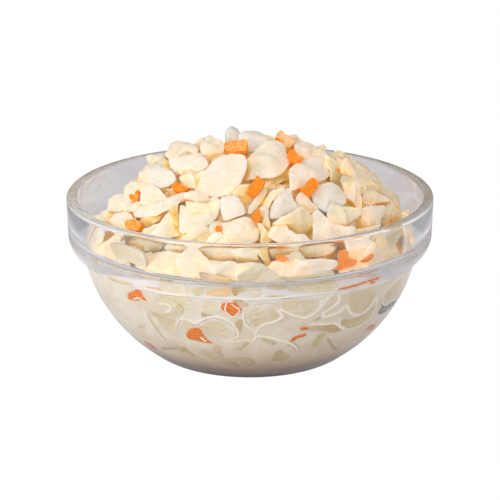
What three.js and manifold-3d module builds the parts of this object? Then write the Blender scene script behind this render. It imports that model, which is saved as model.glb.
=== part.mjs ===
// A small glass bowl heaped with coleslaw: chopped white cabbage and diced carrot in a creamy
// dressing. The bowl is the stacking kind, with a tall straight band round its rim. All sizes are
// millimetres, +Z is up, and the origin is the middle of the foot on the table.
import * as THREE from "three";
import { mergeVertices } from "three/addons/utils/BufferGeometryUtils.js";
import Module from "manifold-3d";

const wasm = await Module();
wasm.setup();

// ---- driving sizes of the bowl ----
const RIM_RADIUS = 60; // the bowl is 120 across
const BOWL_HEIGHT = 53.5;
const BAND_WALL = 3.6; // glass thickness in the straight band
const BODY_WALL = 3.4; // glass thickness of the curved body
const LIP_ROUND = 1.3; // rounding of both edges of the rim
const BODY_CURVE = { r: 4.76, z: 43.24, radius: 51.37 }; // the arc that the outer wall follows
const BAND_FOOT = { r: 53.2, z: 40.5, radius: 6.65 }; // the arc that carries the band in to the body
const SHOULDER_Z = 34.4; // where the band's underside meets the body
const LEDGE_FOOT_Z = 43; // middle height of the inner rounding over the ledge
const LEDGE_Z = 38.8; // where the inner ledge drops into the body
const FOOT_RADIUS = 29.5;
const FOOT_ROUND = 1.9; // height of the rounding between the foot and the body
const FOOT_RING = 23.5; // inner edge of the ring that stands on the table
const PUSH_UP = 0.9; // hollow under the middle of the foot
const FLOOR_Z = 3.8; // inner floor
const FLOOR_RADIUS = 26;
const BOWL_SEGMENTS = 52;

// ---- driving sizes of the heap ----
const HEAP = { x: 1.5, y: 0, radius: 52, foot: 37, rise: 32.4, round: 2.2, fall: 0.68 };
const GLASS_GAP = 0.3; // clearance between the food and the glass
const CORE_DEPTH = 1.7; // the core lies this far inside the pieces' outline
const CORE_INSET = 1.3; // and this far inside the pieces pressed to the glass
const CORE_REACH = HEAP.radius - 3.2;
const CORE_SEGMENTS = 20;
const DOME_RINGS = 6;
const ROOM_SEGMENTS = 26; // half the bowl's, so that its facets stay inside the glass
const LEAF_THICK = 1.3;
const ROOT = 2; // how much deeper a dice is set than its own thickness
const RIB_SIDES = [7, 4]; // round and end to end

// Draws numbers from 0 to 1, the same ones each time for one seed.
function drawer(seed) {
  let state = seed >>> 0;
  return () => {
    state = (state + 0x6d2b79f5) >>> 0;
    let t = state;
    t = Math.imul(t ^ (t >>> 15), t | 1);
    t ^= t + Math.imul(t ^ (t >>> 7), t | 61);
    return ((t ^ (t >>> 14)) >>> 0) / 4294967296;
  };
}

const between = (draw, low, high) => low + (high - low) * draw();
const radians = THREE.MathUtils.degToRad;

// ---- joining and cutting ----
function solidOf(geometry) {
  const bare = new THREE.BufferGeometry();
  bare.setAttribute("position", geometry.getAttribute("position"));
  bare.setIndex(geometry.getIndex());
  const merged = mergeVertices(bare, 1e-4);
  const mesh = new wasm.Mesh({
    numProp: 3,
    vertProperties: merged.getAttribute("position").array,
    triVerts: new Uint32Array(merged.getIndex().array),
  });
  return new wasm.Manifold(mesh);
}

function geometryOf(solid) {
  const mesh = solid.getMesh();
  const geometry = new THREE.BufferGeometry();
  geometry.setAttribute("position", new THREE.BufferAttribute(mesh.vertProperties, 3));
  geometry.setIndex(new THREE.BufferAttribute(mesh.triVerts, 1));
  geometry.computeVertexNormals();
  return geometry;
}

// The largest closed piece, with sealed hollows filled and loose scraps dropped.
function largestPiece(solid) {
  const pieces = solid.decompose().filter((piece) => piece.volume() > 0);
  return pieces.reduce((best, piece) => (piece.volume() > best.volume() ? piece : best));
}

// ---- bowl ----
// Points of an arc in the plane of radius and height, both ends included.
function arc(circle, from, to, steps) {
  const points = [];
  for (let i = 0; i <= steps; i++) {
    const angle = from + ((to - from) * i) / steps;
    points.push([circle.r + circle.radius * Math.cos(angle), circle.z + circle.radius * Math.sin(angle)]);
  }
  return points;
}

// The angle at which a circle reaches height z on its outer side.
const angleAt = (circle, z) => Math.asin((z - circle.z) / circle.radius);

// The circle that the inside of the body follows, set in from the glass by gap.
const insideCircle = (gap) => ({ ...BODY_CURVE, radius: BODY_CURVE.radius - BODY_WALL - gap });

function outsideWall() {
  const footTurn = angleAt(BODY_CURVE, FOOT_ROUND);
  const [[footEnd]] = arc(BODY_CURVE, footTurn, footTurn, 1);
  return [
    [0, PUSH_UP],
    [FOOT_RING - 2.5, PUSH_UP],
    [FOOT_RING, 0],
    [FOOT_RADIUS, 0],
    [(FOOT_RADIUS + footEnd) / 2 + 0.5, FOOT_ROUND * 0.3],
    ...arc(BODY_CURVE, footTurn, angleAt(BODY_CURVE, SHOULDER_Z), 6),
    ...arc(BAND_FOOT, angleAt(BAND_FOOT, SHOULDER_Z + 0.1), 0, 4),
  ];
}

function lip() {
  const inner = RIM_RADIUS - BAND_WALL;
  const z = BOWL_HEIGHT - LIP_ROUND;
  return [
    ...arc({ r: RIM_RADIUS - LIP_ROUND, z, radius: LIP_ROUND }, 0, Math.PI / 2, 3),
    ...arc({ r: inner + LIP_ROUND, z, radius: LIP_ROUND }, Math.PI / 2, Math.PI, 3),
  ];
}

// The inside wall from the band down to the middle of the floor, set in from the glass by gap.
function insideWall(gap) {
  const body = insideCircle(gap);
  const shoulder = { ...BAND_FOOT, z: LEDGE_FOOT_Z, radius: BAND_FOOT.radius - BAND_WALL - gap };
  const floorZ = FLOOR_Z + gap;
  return [
    ...arc(shoulder, 0, radians(-75), 4),
    ...arc(body, angleAt(body, LEDGE_Z), angleAt(body, floorZ + 3), 6),
    [FLOOR_RADIUS + 3.4, floorZ + 0.7],
    [FLOOR_RADIUS - gap, floorZ],
    [0, floorZ],
  ];
}

function turned(points, segments) {
  const profile = points.map(([r, z]) => new THREE.Vector2(r, z));
  return new THREE.LatheGeometry(profile, segments).rotateX(Math.PI / 2);
}

const bowlGeometry = () => turned([...outsideWall(), ...lip(), ...insideWall(0)], BOWL_SEGMENTS);

// ---- heap ----
function heapHeight(x, y) {
  const share = Math.min(1, Math.hypot(x - HEAP.x, y - HEAP.y) / HEAP.radius);
  return HEAP.foot + HEAP.rise * (1 - share ** HEAP.round) ** HEAP.fall;
}

function heapNormal(x, y) {
  const step = 0.5;
  const slopeX = (heapHeight(x + step, y) - heapHeight(x - step, y)) / (2 * step);
  const slopeY = (heapHeight(x, y + step) - heapHeight(x, y - step)) / (2 * step);
  return new THREE.Vector3(-slopeX, -slopeY, 1).normalize();
}

// The room that the food may fill: the inside of the glass, and anything above the rim.
function roomSolid() {
  const ceiling = BOWL_HEIGHT + 40;
  const inner = RIM_RADIUS - BAND_WALL - GLASS_GAP;
  return solidOf(turned([[0, ceiling], [inner, ceiling], ...insideWall(GLASS_GAP)].reverse(), ROOM_SEGMENTS));
}

// The packed middle of the heap, which the pieces are set into.
function coreSolid() {
  const body = insideCircle(GLASS_GAP + CORE_INSET);
  const floorZ = FLOOR_Z + GLASS_GAP;
  const dome = [];
  for (let i = 0; i <= DOME_RINGS; i++) {
    const r = CORE_REACH * Math.sin(((i / DOME_RINGS) * Math.PI) / 2);
    dome.push([r, heapHeight(HEAP.x + r, HEAP.y) - CORE_DEPTH]);
  }
  const side = arc(body, angleAt(body, LEDGE_Z), angleAt(body, floorZ + 4), 4);
  return solidOf(turned([...dome, ...side, [FLOOR_RADIUS, floorZ], [0, floorZ]].reverse(), CORE_SEGMENTS));
}

// ---- pieces of cabbage and carrot, each made lying flat round the origin ----
// The outline of a cut leaf: its four corners, and the middles of its two long cuts.
function leafOutline(long, wide, taper, draw) {
  const ways = [[1, 0.8], [0, 1], [-1, 0.8], [-1, -0.8], [0, -1], [1, -0.8]];
  return ways.map(([u, v]) => [
    (u * long * between(draw, 0.84, 1.1)) / 2,
    (v * wide * between(draw, 0.9, 1.15) * (1 - taper * Math.max(u, 0))) / 2,
  ]);
}

// How far a leaf stands off its flat plane, as it cups across, curls along and twists.
function leafSag(u, v, long, wide, leaf) {
  const across = (2 * v) / wide;
  const along = (2 * u) / long;
  return leaf.cup * (across * across - 0.4) + leaf.curl * (along * along - 0.4) + leaf.twist * across * along;
}

// Closes a leaf whose points are a middle and a ring for its upper side, then the same for its under
// side, so that both sides are split into triangles alike.
function leafShell(points, ring) {
  const faces = [];
  const under = ring + 1;
  for (let i = 0; i < ring; i++) {
    const a = 1 + i;
    const b = 1 + ((i + 1) % ring);
    faces.push(0, a, b, under, under + b, under + a);
    faces.push(a, under + a, under + b, a, under + b, b);
  }
  const geometry = new THREE.BufferGeometry();
  geometry.setAttribute("position", new THREE.Float32BufferAttribute(points.flat(), 3));
  geometry.setIndex(faces);
  return geometry;
}

function leafGeometry(leaf) {
  const draw = drawer(leaf.seed);
  const outline = leafOutline(leaf.long, leaf.wide, leaf.taper, draw);
  const ring = outline.length;
  const points = [];
  for (const side of [1, -1]) {
    const lift = (side * leaf.thick) / 2;
    points.push([0, 0, leafSag(0, 0, leaf.long, leaf.wide, leaf) + lift]);
    for (const [u, v] of outline) points.push([u, v, leafSag(u, v, leaf.long, leaf.wide, leaf) + lift]);
  }
  return leafShell(points, ring);
}

// A thick cut of a leaf's rib: a rounded block.
function ribGeometry(rib) {
  const geometry = new THREE.SphereGeometry(1, ...RIB_SIDES);
  const at = geometry.getAttribute("position");
  const squared = (s) => Math.sign(s) * Math.abs(s) ** 0.7;
  for (let i = 0; i < at.count; i++) {
    const x = (squared(at.getX(i)) * rib.long) / 2;
    const y = (squared(at.getZ(i)) * rib.wide) / -2;
    at.setXYZ(i, x, y, (squared(at.getY(i)) * rib.thick) / 2);
  }
  return geometry;
}

// A dice of carrot, whose under side runs on down into the heap.
function diceGeometry(dice) {
  return new THREE.BoxGeometry(dice.long, dice.wide, dice.thick + ROOT).translate(0, 0, -ROOT / 2);
}

const MAKERS = { leaf: leafGeometry, rib: ribGeometry, dice: diceGeometry };

// Sets a piece down at a point of a surface: turned by heading about the normal, then tilted about
// its own short axis by pitch and its own long axis by roll, and lifted off the surface by lift.
function setDown(geometry, point, normal, piece) {
  const east = new THREE.Vector3(1, 0, 0).addScaledVector(normal, -normal.x).normalize();
  const north = new THREE.Vector3().crossVectors(normal, east);
  const place = new THREE.Matrix4().makeBasis(east, north, normal);
  place.setPosition(point.clone().addScaledVector(normal, piece.lift));
  const turn = new THREE.Euler(radians(piece.roll), -radians(piece.pitch), radians(piece.heading), "ZYX");
  return geometry.applyMatrix4(new THREE.Matrix4().makeRotationFromEuler(turn)).applyMatrix4(place);
}

function onHeap(piece) {
  const point = new THREE.Vector3(piece.x, piece.y, heapHeight(piece.x, piece.y));
  return setDown(MAKERS[piece.kind](piece), point, heapNormal(piece.x, piece.y), piece);
}

// ---- landmark pieces, largest and plainest to see, placed by hand on the heap ----
// x, y, heading, pitch, roll, long, wide and, for what is thick, how thick
const LEAVES = [
  [-9, -24, 50, 4, -8, 20, 13],
  [6, -18, 50, 6, 12, 19, 12],
  [19, -19, 25, 4, -14, 15, 12],
  [18, -6, -15, 8, 8, 13, 10],
  [15, 3, 0, 4, 6, 9, 8],
  [-12, -3, -10, 8, 10, 13, 10],
  [-23, 5, 10, 6, -8, 14, 9],
  [-20, -12, 5, 4, 14, 14, 10],
  [-18, -22, 20, 6, -12, 12, 8],
  [-31, 5, 30, -8, 12, 8, 7],
  [-36, 1, 40, 8, -10, 9, 7],
  [27, -13, -55, 6, 36, 13, 8],
  [31, -6, -40, -8, 14, 12, 10],
  [36, -8, -35, -8, -12, 14, 7],
  [42, -4, -50, -2, -8, 12, 9],
  [32, -20, 85, 6, -16, 9, 7],
  [40, -16, 0, 4, 12, 12, 9],
  [38, -24, -10, 4, -8, 10, 9],
  [29, -31, 5, 8, -22, 14, 8],
  [24, -37, -12, 6, 14, 17, 10],
  [13, -39, 15, 10, -18, 17, 10],
  [5, -36, 80, 18, 36, 14, 6],
  [16, -33, 120, 10, 10, 9, 6],
  [10, -43, -8, 6, -20, 15, 7],
  [3, -35, 45, 10, 28, 11, 4],
  [-2, -42, -30, 8, 12, 17, 13],
  [-16, -36, 5, 6, -16, 16, 12],
  [-17, -30, -12, 8, 14, 10, 7],
  [-15, -40, 20, 6, 10, 14, 9],
  [-10, -43, 50, 10, -18, 10, 8],
  [-24, -31, 55, 12, 16, 14, 8],
  [-30, -25, 20, 6, -10, 18, 8],
  [-43, -2, 30, 8, 12, 11, 9],
  [-45, -8, 15, 8, -12, 13, 9],
  [17, -47, 0, 4, -6, 19, 8],
  [34, -37, 10, 4, 8, 15, 10],
  [-21, -45, 10, 4, 10, 14, 11],
  [-33, -37, -15, 6, -8, 13, 9],
];
const RIBS = [
  [-6, 6, 90, 0, 0, 5, 6, 9],
  [1, -2, 5, 0, 0, 11, 8, 6],
  [-28, -13, 20, 0, 10, 10, 8, 5],
  [-30, -18, -20, 0, 0, 8, 6, 4],
  [24, -28, -20, 4, 0, 12, 10, 6],
  [9, -34, 60, 8, 0, 12, 9, 4],
  [-5, -37, 10, 6, 10, 9, 8, 4],
  [-39, -2, 50, 0, 0, 7, 6, 5],
  [-10, -47, 0, 0, 0, 11, 8, 5],
];
const CARROTS = [
  [-5, -10, 3, 0, 30, 8, 4, 4],
  [12, -2, -38, 10, 20, 7.5, 3.6, 3],
  [14, -14, -10, 6, 10, 5.2, 4.4, 3.4],
  [2, -31, 58, 14, 20, 7, 4, 3.6],
  [18, -28, 40, 8, 24, 7, 4.8, 4],
  [-22, -24, -8, 4, 10, 5.4, 4, 3.4],
  [-36, -14, 50, 6, 10, 4.4, 3, 3],
  [-36, -26, -4, 4, 20, 6, 4.4, 4],
  [2, -40, 40, 6, 0, 4.4, 4, 3],
  [9, -47, 0, 0, 0, 5, 3.4, 3],
  [27, -43, 25, 0, 0, 8.5, 6, 4],
];

function landmarks() {
  const leaves = LEAVES.map(([x, y, heading, pitch, roll, long, wide], i) => {
    const draw = drawer(100 + i);
    const shape = {
      cup: between(draw, -0.9, 1.1),
      curl: between(draw, -1.2, 0.8),
      twist: between(draw, -0.7, 0.7),
      taper: between(draw, 0, 0.35),
    };
    return { kind: "leaf", x, y, heading, pitch, roll, long, wide, thick: LEAF_THICK, lift: -0.7, seed: 200 + i, ...shape };
  });
  const blocks = (rows, kind, lift) =>
    rows.map(([x, y, heading, pitch, roll, long, wide, thick]) => (
      { kind, x, y, heading, pitch, roll, long, wide, thick, lift }
    ));
  return [...leaves, ...blocks(RIBS, "rib", -0.4), ...blocks(CARROTS, "dice", 0.8)];
}

// ---- the rest of the heap, spread over it by a golden-angle spiral ----
const FILL_COUNT = 80;
const FILL_CLEAR = 6.5; // how close to a landmark a fill piece may lie

function fillPieces(taken) {
  const draw = drawer(7);
  const pieces = [];
  for (let i = 0; i < FILL_COUNT; i++) {
    const reach = (HEAP.radius - 2) * ((i + 0.5) / FILL_COUNT) ** 0.46;
    const bearing = i * radians(137.508);
    const x = HEAP.x + reach * Math.cos(bearing);
    const y = HEAP.y + reach * Math.sin(bearing);
    const size = between(draw, 0.8, 1.25);
    const sort = draw();
    const common = {
      x, y, heading: between(draw, 0, 180), pitch: between(draw, -12, 12), roll: between(draw, -15, 15),
      cup: between(draw, -1, 1.1), curl: between(draw, -1.2, 0.8), twist: between(draw, -0.8, 0.8),
      taper: between(draw, 0, 0.4), seed: 400 + i,
    };
    if (taken.some((other) => Math.hypot(other.x - x, other.y - y) < FILL_CLEAR)) continue;
    if (sort < 0.74) {
      pieces.push({ ...common, kind: "leaf", long: 13 * size, wide: 10 * size, thick: LEAF_THICK, lift: -0.7 });
    } else if (sort < 0.88) {
      pieces.push({ ...common, kind: "rib", long: 9 * size, wide: 7 * size, thick: 4.4, lift: -0.8 });
    } else {
      pieces.push({ ...common, kind: "dice", long: 6 * size, wide: 4 * size, thick: 3.4, lift: 0.2 });
    }
  }
  return pieces.map(onHeap);
}

// ---- pieces pressed to the inside of the glass ----
const WALL_ROWS = [
  { z: 13, count: 7 },
  { z: 21, count: 9 },
  { z: 29, count: 10 },
  { z: 36, count: 10 },
];
const PRESSED_DEPTH = 2.6; // how far a pressed piece reaches in from the glass

// Bends a flat outline to the inside of the glass, round the bowl by u and up it by v.
function pressedGeometry(piece) {
  const outline = [[0, 0], ...leafOutline(piece.long, piece.wide, piece.taper, drawer(piece.seed))];
  const turn = radians(piece.heading);
  const sides = outline.length - 1;
  const points = [];
  for (const depth of [0, PRESSED_DEPTH]) {
    const wall = insideCircle(GLASS_GAP + depth);
    const middle = angleAt(wall, piece.z);
    const lowest = angleAt(wall, FLOOR_Z + GLASS_GAP + 3);
    const round = wall.r + wall.radius * Math.cos(middle);
    for (const [u, v] of outline) {
      const slope = Math.max(lowest, middle + (u * Math.sin(turn) + v * Math.cos(turn)) / wall.radius);
      const bearing = piece.bearing + (u * Math.cos(turn) - v * Math.sin(turn)) / round;
      const reach = wall.r + wall.radius * Math.cos(slope);
      points.push([reach * Math.cos(bearing), reach * Math.sin(bearing), wall.z + wall.radius * Math.sin(slope)]);
    }
  }
  return leafShell(points, sides);
}

function pressedPieces() {
  const draw = drawer(31);
  const pieces = [];
  WALL_ROWS.forEach(({ z, count }, row) => {
    for (let i = 0; i < count; i++) {
      const bearing = ((i + 0.5 * (row % 2) + between(draw, -0.2, 0.2)) / count) * 2 * Math.PI;
      const height = z + between(draw, -1.5, 1.5);
      const size = i % 5 === 3 ? 0.55 : 1; // some are carrot
      const long = between(draw, 13, 18) * size;
      const wide = between(draw, 9, 12) * size;
      const shape = { taper: between(draw, 0, 0.4), heading: between(draw, -40, 40), seed: 600 + 20 * row + i };
      pieces.push(pressedGeometry({ ...shape, bearing, z: height, long, wide }));
    }
  });
  return pieces;
}

function coleslawGeometry() {
  const shown = landmarks();
  const loose = [...shown.map(onHeap), ...fillPieces(shown)].map(solidOf);
  const heaped = wasm.Manifold.union([coreSolid(), ...loose]).intersect(roomSolid());
  return geometryOf(largestPiece(wasm.Manifold.union([heaped, ...pressedPieces().map(solidOf)])));
}

// ---- the whole ----
const GLASS = new THREE.MeshStandardMaterial({
  color: 0xe9eef0, roughness: 0.03, metalness: 0, transparent: true, opacity: 0.3,
});
const SLAW = new THREE.MeshStandardMaterial({ color: 0xf1e6c8, roughness: 0.35, metalness: 0 });

function named(name, geometry, material) {
  const mesh = new THREE.Mesh(geometry, material);
  mesh.name = name;
  return mesh;
}

const bowlOfColeslaw = new THREE.Group();
bowlOfColeslaw.add(named("bowl", bowlGeometry(), GLASS));
bowlOfColeslaw.add(named("coleslaw", coleslawGeometry(), SLAW));

export default bowlOfColeslaw;
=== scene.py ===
# %% [markdown]
# Coleslaw in its glass bowl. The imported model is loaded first, as a frame that fixes every size and
# place. The glass and the heap of food are then made again with fine surfaces, and each new piece
# takes the place of the plain solid that it stands for.

# %% Load the frame
import functools
import math

import bpy
import numpy as np
from mathutils import Matrix, Vector


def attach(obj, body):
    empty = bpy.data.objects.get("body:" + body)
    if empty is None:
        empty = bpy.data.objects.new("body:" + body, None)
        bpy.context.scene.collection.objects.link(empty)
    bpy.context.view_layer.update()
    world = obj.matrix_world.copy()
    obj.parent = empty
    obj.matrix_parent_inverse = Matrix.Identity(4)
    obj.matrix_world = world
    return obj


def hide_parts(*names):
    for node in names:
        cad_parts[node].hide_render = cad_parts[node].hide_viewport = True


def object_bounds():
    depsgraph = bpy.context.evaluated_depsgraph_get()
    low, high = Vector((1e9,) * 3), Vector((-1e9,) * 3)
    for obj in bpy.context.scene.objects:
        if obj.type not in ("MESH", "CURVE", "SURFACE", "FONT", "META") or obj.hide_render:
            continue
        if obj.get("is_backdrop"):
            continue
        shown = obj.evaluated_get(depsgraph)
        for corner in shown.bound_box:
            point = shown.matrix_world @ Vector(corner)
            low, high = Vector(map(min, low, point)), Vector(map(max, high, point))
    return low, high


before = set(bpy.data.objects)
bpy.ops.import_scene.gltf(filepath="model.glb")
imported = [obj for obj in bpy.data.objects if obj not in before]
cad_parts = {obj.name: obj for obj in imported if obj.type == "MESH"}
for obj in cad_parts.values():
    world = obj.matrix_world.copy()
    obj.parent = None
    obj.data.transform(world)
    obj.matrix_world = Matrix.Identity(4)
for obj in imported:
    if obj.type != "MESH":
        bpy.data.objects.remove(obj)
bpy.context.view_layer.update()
MM = 0.001
print("nodes:", sorted(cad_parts))


# %% [markdown]
# Most steps start from the same two moves: nothing is selected, and then one object becomes the
# active one. Small helpers keep the later cells short.

# %% Selection and edit-mode helpers
def clear_selection():
    if bpy.context.object and bpy.context.object.mode != "OBJECT":
        bpy.ops.object.mode_set(mode="OBJECT")
    bpy.ops.object.select_all(action="DESELECT")


def take_up(piece):
    clear_selection()
    piece.select_set(True)
    bpy.context.view_layer.objects.active = piece


def smooth_by_angle(piece, degrees):
    take_up(piece)
    bpy.ops.object.shade_smooth_by_angle(angle=math.radians(degrees))


def give_finish(piece, finish):
    piece.data.materials.clear()
    piece.data.materials.append(finish)


# %% [markdown]
# A turned shape is half a section spun round the Z axis, as on a lathe. The section is drawn one
# point at a time by extruding a single vertex, then Spin sweeps it round, the doubled points on the
# seam and at the poles are merged, and the normals are turned outwards.

# %% Spin a section round the Z axis
SEAM_GAP = 2e-6  # metres


def spin_section(name, section, steps):
    clear_selection()
    r, z = section[0]
    bpy.ops.mesh.primitive_plane_add(size=MM, location=(r * MM, 0, z * MM))
    piece = bpy.context.object
    piece.name = name
    bpy.ops.object.transform_apply(location=True, rotation=True, scale=True)
    bpy.ops.object.mode_set(mode="EDIT")
    bpy.ops.mesh.select_all(action="SELECT")
    bpy.ops.mesh.merge(type="CENTER")
    for (r0, z0), (r1, z1) in zip(section, section[1:]):
        step = ((r1 - r0) * MM, 0, (z1 - z0) * MM)
        bpy.ops.mesh.extrude_region_move(TRANSFORM_OT_translate={"value": step})
    bpy.ops.mesh.select_all(action="SELECT")
    bpy.ops.mesh.spin(steps=steps, angle=math.tau, center=(0, 0, 0), axis=(0, 0, 1))
    bpy.ops.mesh.select_all(action="SELECT")
    bpy.ops.mesh.remove_doubles(threshold=SEAM_GAP)
    bpy.ops.mesh.normals_make_consistent(inside=False)
    bpy.ops.object.mode_set(mode="OBJECT")
    return piece


# %% [markdown]
# The bowl is pressed glass: a rounded body on a flat foot ring, and a tall straight band that lets
# the bowls stack. Its section is a handful of arcs, so the sizes below are the same as the solid's,
# and only the number of steps along each arc is finer.

# %% Sizes of the bowl, in millimetres
RIM_RADIUS, BOWL_HEIGHT = 60.0, 53.5
BAND_WALL, BODY_WALL, LIP_ROUND = 3.6, 3.4, 1.3
BODY_R, BODY_Z, BODY_RADIUS = 4.76, 43.24, 51.37
FOOT_R, FOOT_Z, FOOT_ARC = 53.2, 40.5, 6.65
SHOULDER_Z, LEDGE_Z, LEDGE_FOOT_Z = 34.4, 38.8, 43.0
LEDGE_TURN, LEDGE_OUT, LEDGE_UP = math.radians(-75), 0.15, 0.75
FOOT_RADIUS, FOOT_ROUND, FOOT_FLARE = 29.5, 1.9, 4.2
FOOT_RING, PUSH_UP, PUSH_UP_SLOPE = 23.5, 0.9, 2.5
FLOOR_Z, FLOOR_RADIUS, FLOOR_FLARE = 3.8, 26.0, 4.6
CORNER_Z, INNER_BODY = FLOOR_Z + 3, BODY_RADIUS - BODY_WALL
BODY_STEPS, LEDGE_STEPS, ROUND_STEPS, SPIN_STEPS = 22, 12, 6, 200


def arc(r, z, radius, start, end, steps):
    turns = np.linspace(start, end, steps + 1)
    return [(r + radius * math.cos(t), z + radius * math.sin(t)) for t in turns]


def angle_at(centre_z, radius, z):
    return math.asin((z - centre_z) / radius)


def curve_through(a, b, c, steps):
    """A quadratic curve from a to c that leans towards b."""
    a, b, c = np.array(a), np.array(b), np.array(c)
    t = np.linspace(0, 1, steps + 1)[:, None]
    return [tuple(p) for p in (1 - t) ** 2 * a + 2 * t * (1 - t) * b + t * t * c]


def body_point(radius, z):
    """The point of the body's arc at a height."""
    return (BODY_R + radius * math.cos(angle_at(BODY_Z, radius, z)), z)


def body_arc(radius, low, high, steps):
    """The body's arc from one height to another, without its first point."""
    ends = (angle_at(BODY_Z, radius, z) for z in (low, high))
    return arc(BODY_R, BODY_Z, radius, *ends, steps)[1:]


def outside_section():
    under = angle_at(FOOT_Z, FOOT_ARC, SHOULDER_Z + 0.1)
    foot_end = body_point(BODY_RADIUS, FOOT_ROUND)
    points = [(0, PUSH_UP), (FOOT_RING - PUSH_UP_SLOPE, PUSH_UP), (FOOT_RING, 0)]
    points += curve_through((FOOT_RADIUS, 0), (FOOT_RADIUS + FOOT_FLARE, 0), foot_end, ROUND_STEPS)
    points += body_arc(BODY_RADIUS, FOOT_ROUND, SHOULDER_Z, BODY_STEPS)
    return points + arc(FOOT_R, FOOT_Z, FOOT_ARC, under, 0, LEDGE_STEPS)


def lip_section():
    z = BOWL_HEIGHT - LIP_ROUND
    quarter = math.pi / 2
    outer = arc(RIM_RADIUS - LIP_ROUND, z, LIP_ROUND, 0, quarter, ROUND_STEPS)
    inner = arc(RIM_RADIUS - BAND_WALL + LIP_ROUND, z, LIP_ROUND, quarter, math.pi, ROUND_STEPS)
    return outer + inner


FLOOR_EDGE, FLOOR_LEAN = (FLOOR_RADIUS, FLOOR_Z), (FLOOR_RADIUS + FLOOR_FLARE, FLOOR_Z)


def inside_section():
    ledge_end = body_point(INNER_BODY, LEDGE_Z)
    ledge_lean = (ledge_end[0] + LEDGE_OUT, LEDGE_Z + LEDGE_UP)
    points = arc(FOOT_R, LEDGE_FOOT_Z, FOOT_ARC - BAND_WALL, 0, LEDGE_TURN, LEDGE_STEPS)
    points += curve_through(points[-1], ledge_lean, ledge_end, 4)[1:]
    points += body_arc(INNER_BODY, LEDGE_Z, CORNER_Z, BODY_STEPS)
    points += curve_through(body_point(INNER_BODY, CORNER_Z), FLOOR_LEAN, FLOOR_EDGE, 5)[1:]
    return points + [(0, FLOOR_Z)]


# %% Spin the glass
bowl = spin_section("glass_bowl", outside_section() + lip_section() + inside_section(), SPIN_STEPS)
smooth_by_angle(bowl, 35)
print("glass bowl:", len(bowl.data.polygons), "faces")


# %% [markdown]
# Shader maths reads best as plain sums. This class wraps one output socket, and adding, taking away
# or multiplying two of them puts the Math node in. Every other node is made by one method, which is
# given its type, its settings and what goes into its sockets, and the nodes that are used most have
# a short method of their own.

# %% A socket that can be used in sums
class Wire:
    def __init__(self, tree, socket=None):
        self.tree, self.socket = tree, socket

    def node(self, kind, inputs=(), output=0, **settings):
        made = self.tree.nodes.new(kind)
        stops = settings.pop("stops", None)
        for name, value in settings.items():
            setattr(made, name, value)
        if stops:
            set_stops(made.color_ramp, stops)
        for key, value in dict(inputs).items():
            put(self.tree, value, made.inputs[key])
        return Wire(self.tree, made.outputs[output])

    def output(self, key):
        """Another output of the node that this one comes from."""
        return Wire(self.tree, self.socket.node.outputs[key])

    def parts(self, kind="ShaderNodeSeparateXYZ"):
        """The three numbers of a place or a colour."""
        first = self.node(kind, {0: self})
        return [first.output(i) for i in range(3)]

    def math(self, operation, *values, clamp=False):
        inputs = dict(enumerate((self, *values)))
        return self.node("ShaderNodeMath", inputs, operation=operation, use_clamp=clamp)

    def __add__(self, other):
        return self.math("ADD", other)

    def __sub__(self, other):
        return self.math("SUBTRACT", other)

    def __rsub__(self, other):
        return self.node("ShaderNodeMath", {0: other, 1: self}, operation="SUBTRACT")

    def __mul__(self, other):
        return self.math("MULTIPLY", other)

    __radd__, __rmul__ = __add__, __mul__

    def clamped(self):
        return self.math("ADD", 0.0, clamp=True)

    def span(self, low, high, at_low=0.0, at_high=1.0):
        """Runs evenly from one value to another while this one goes from low to high."""
        return self.node("ShaderNodeMapRange", {0: self, 1: low, 2: high, 3: at_low, 4: at_high})

    def ramp(self, *stops):
        return self.node("ShaderNodeValToRGB", {0: self}, stops=stops)

    def noise(self, scale, detail=2.0, rough=0.5, distortion=0.0):
        """Soft clouds, read at this place."""
        inputs = {"Vector": self, "Scale": scale, "Detail": detail, "Roughness": rough}
        return self.node("ShaderNodeTexNoise", {**inputs, "Distortion": distortion})

    def stretched(self, amounts):
        """This place, multiplied along each axis."""
        return self.node("ShaderNodeVectorMath", {0: self, 1: amounts}, operation="MULTIPLY")

    def mix(self, low, high):
        """The colour low where this value is 0, and high where it is 1."""
        return self.node("ShaderNodeMix", {0: self, 6: low, 7: high}, output=2, data_type="RGBA")

    def mix_by(self, colour):
        """The colour multiplied by this one."""
        inputs = {0: 1.0, 6: colour, 7: self}
        return self.node("ShaderNodeMix", inputs, output=2, data_type="RGBA", blend_type="MULTIPLY")


def put(tree, value, socket):
    """Links a wire to a socket, or writes a plain value into it."""
    if isinstance(value, Wire):
        tree.links.new(value.socket, socket)
    else:
        socket.default_value = value


def set_stops(ramp, stops):
    while len(ramp.elements) < len(stops):
        ramp.elements.new(0.5)
    for element, (place, colour) in zip(ramp.elements, stops):
        element.position = place
        element.color = colour


def grey(value):
    return (value, value, value, 1.0)


WHITE, BLACK = grey(1.0), (0, 0, 0, 1)


def new_material(name):
    material = bpy.data.materials.new(name)
    material.use_nodes = True
    return material, Wire(material.node_tree), material.node_tree.nodes["Principled BSDF"]


def object_place(start):
    return start.node("ShaderNodeTexCoord", output=3)


def feed(start, shader, **inputs):
    for name, value in inputs.items():
        put(start.tree, value, shader.inputs[name.replace("_", " ")])


def show(shader, output="Material Output"):
    put(shader.tree, shader, shader.tree.nodes[output].inputs["Surface"])


# %% [markdown]
# Clear glass is a smooth transmitting surface with an index of 1.5. Light from lamps is let straight
# through for shadow and bounce rays, because the bright lens patterns that real glass throws take a
# renderer far too long, and the food inside has to be lit.

# %% Glass
GLASS_INDEX = 1.5
GLASS_TINT, SHADOW_TINT = (0.975, 0.985, 0.985, 1), (0.97, 0.975, 0.975, 1)


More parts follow.
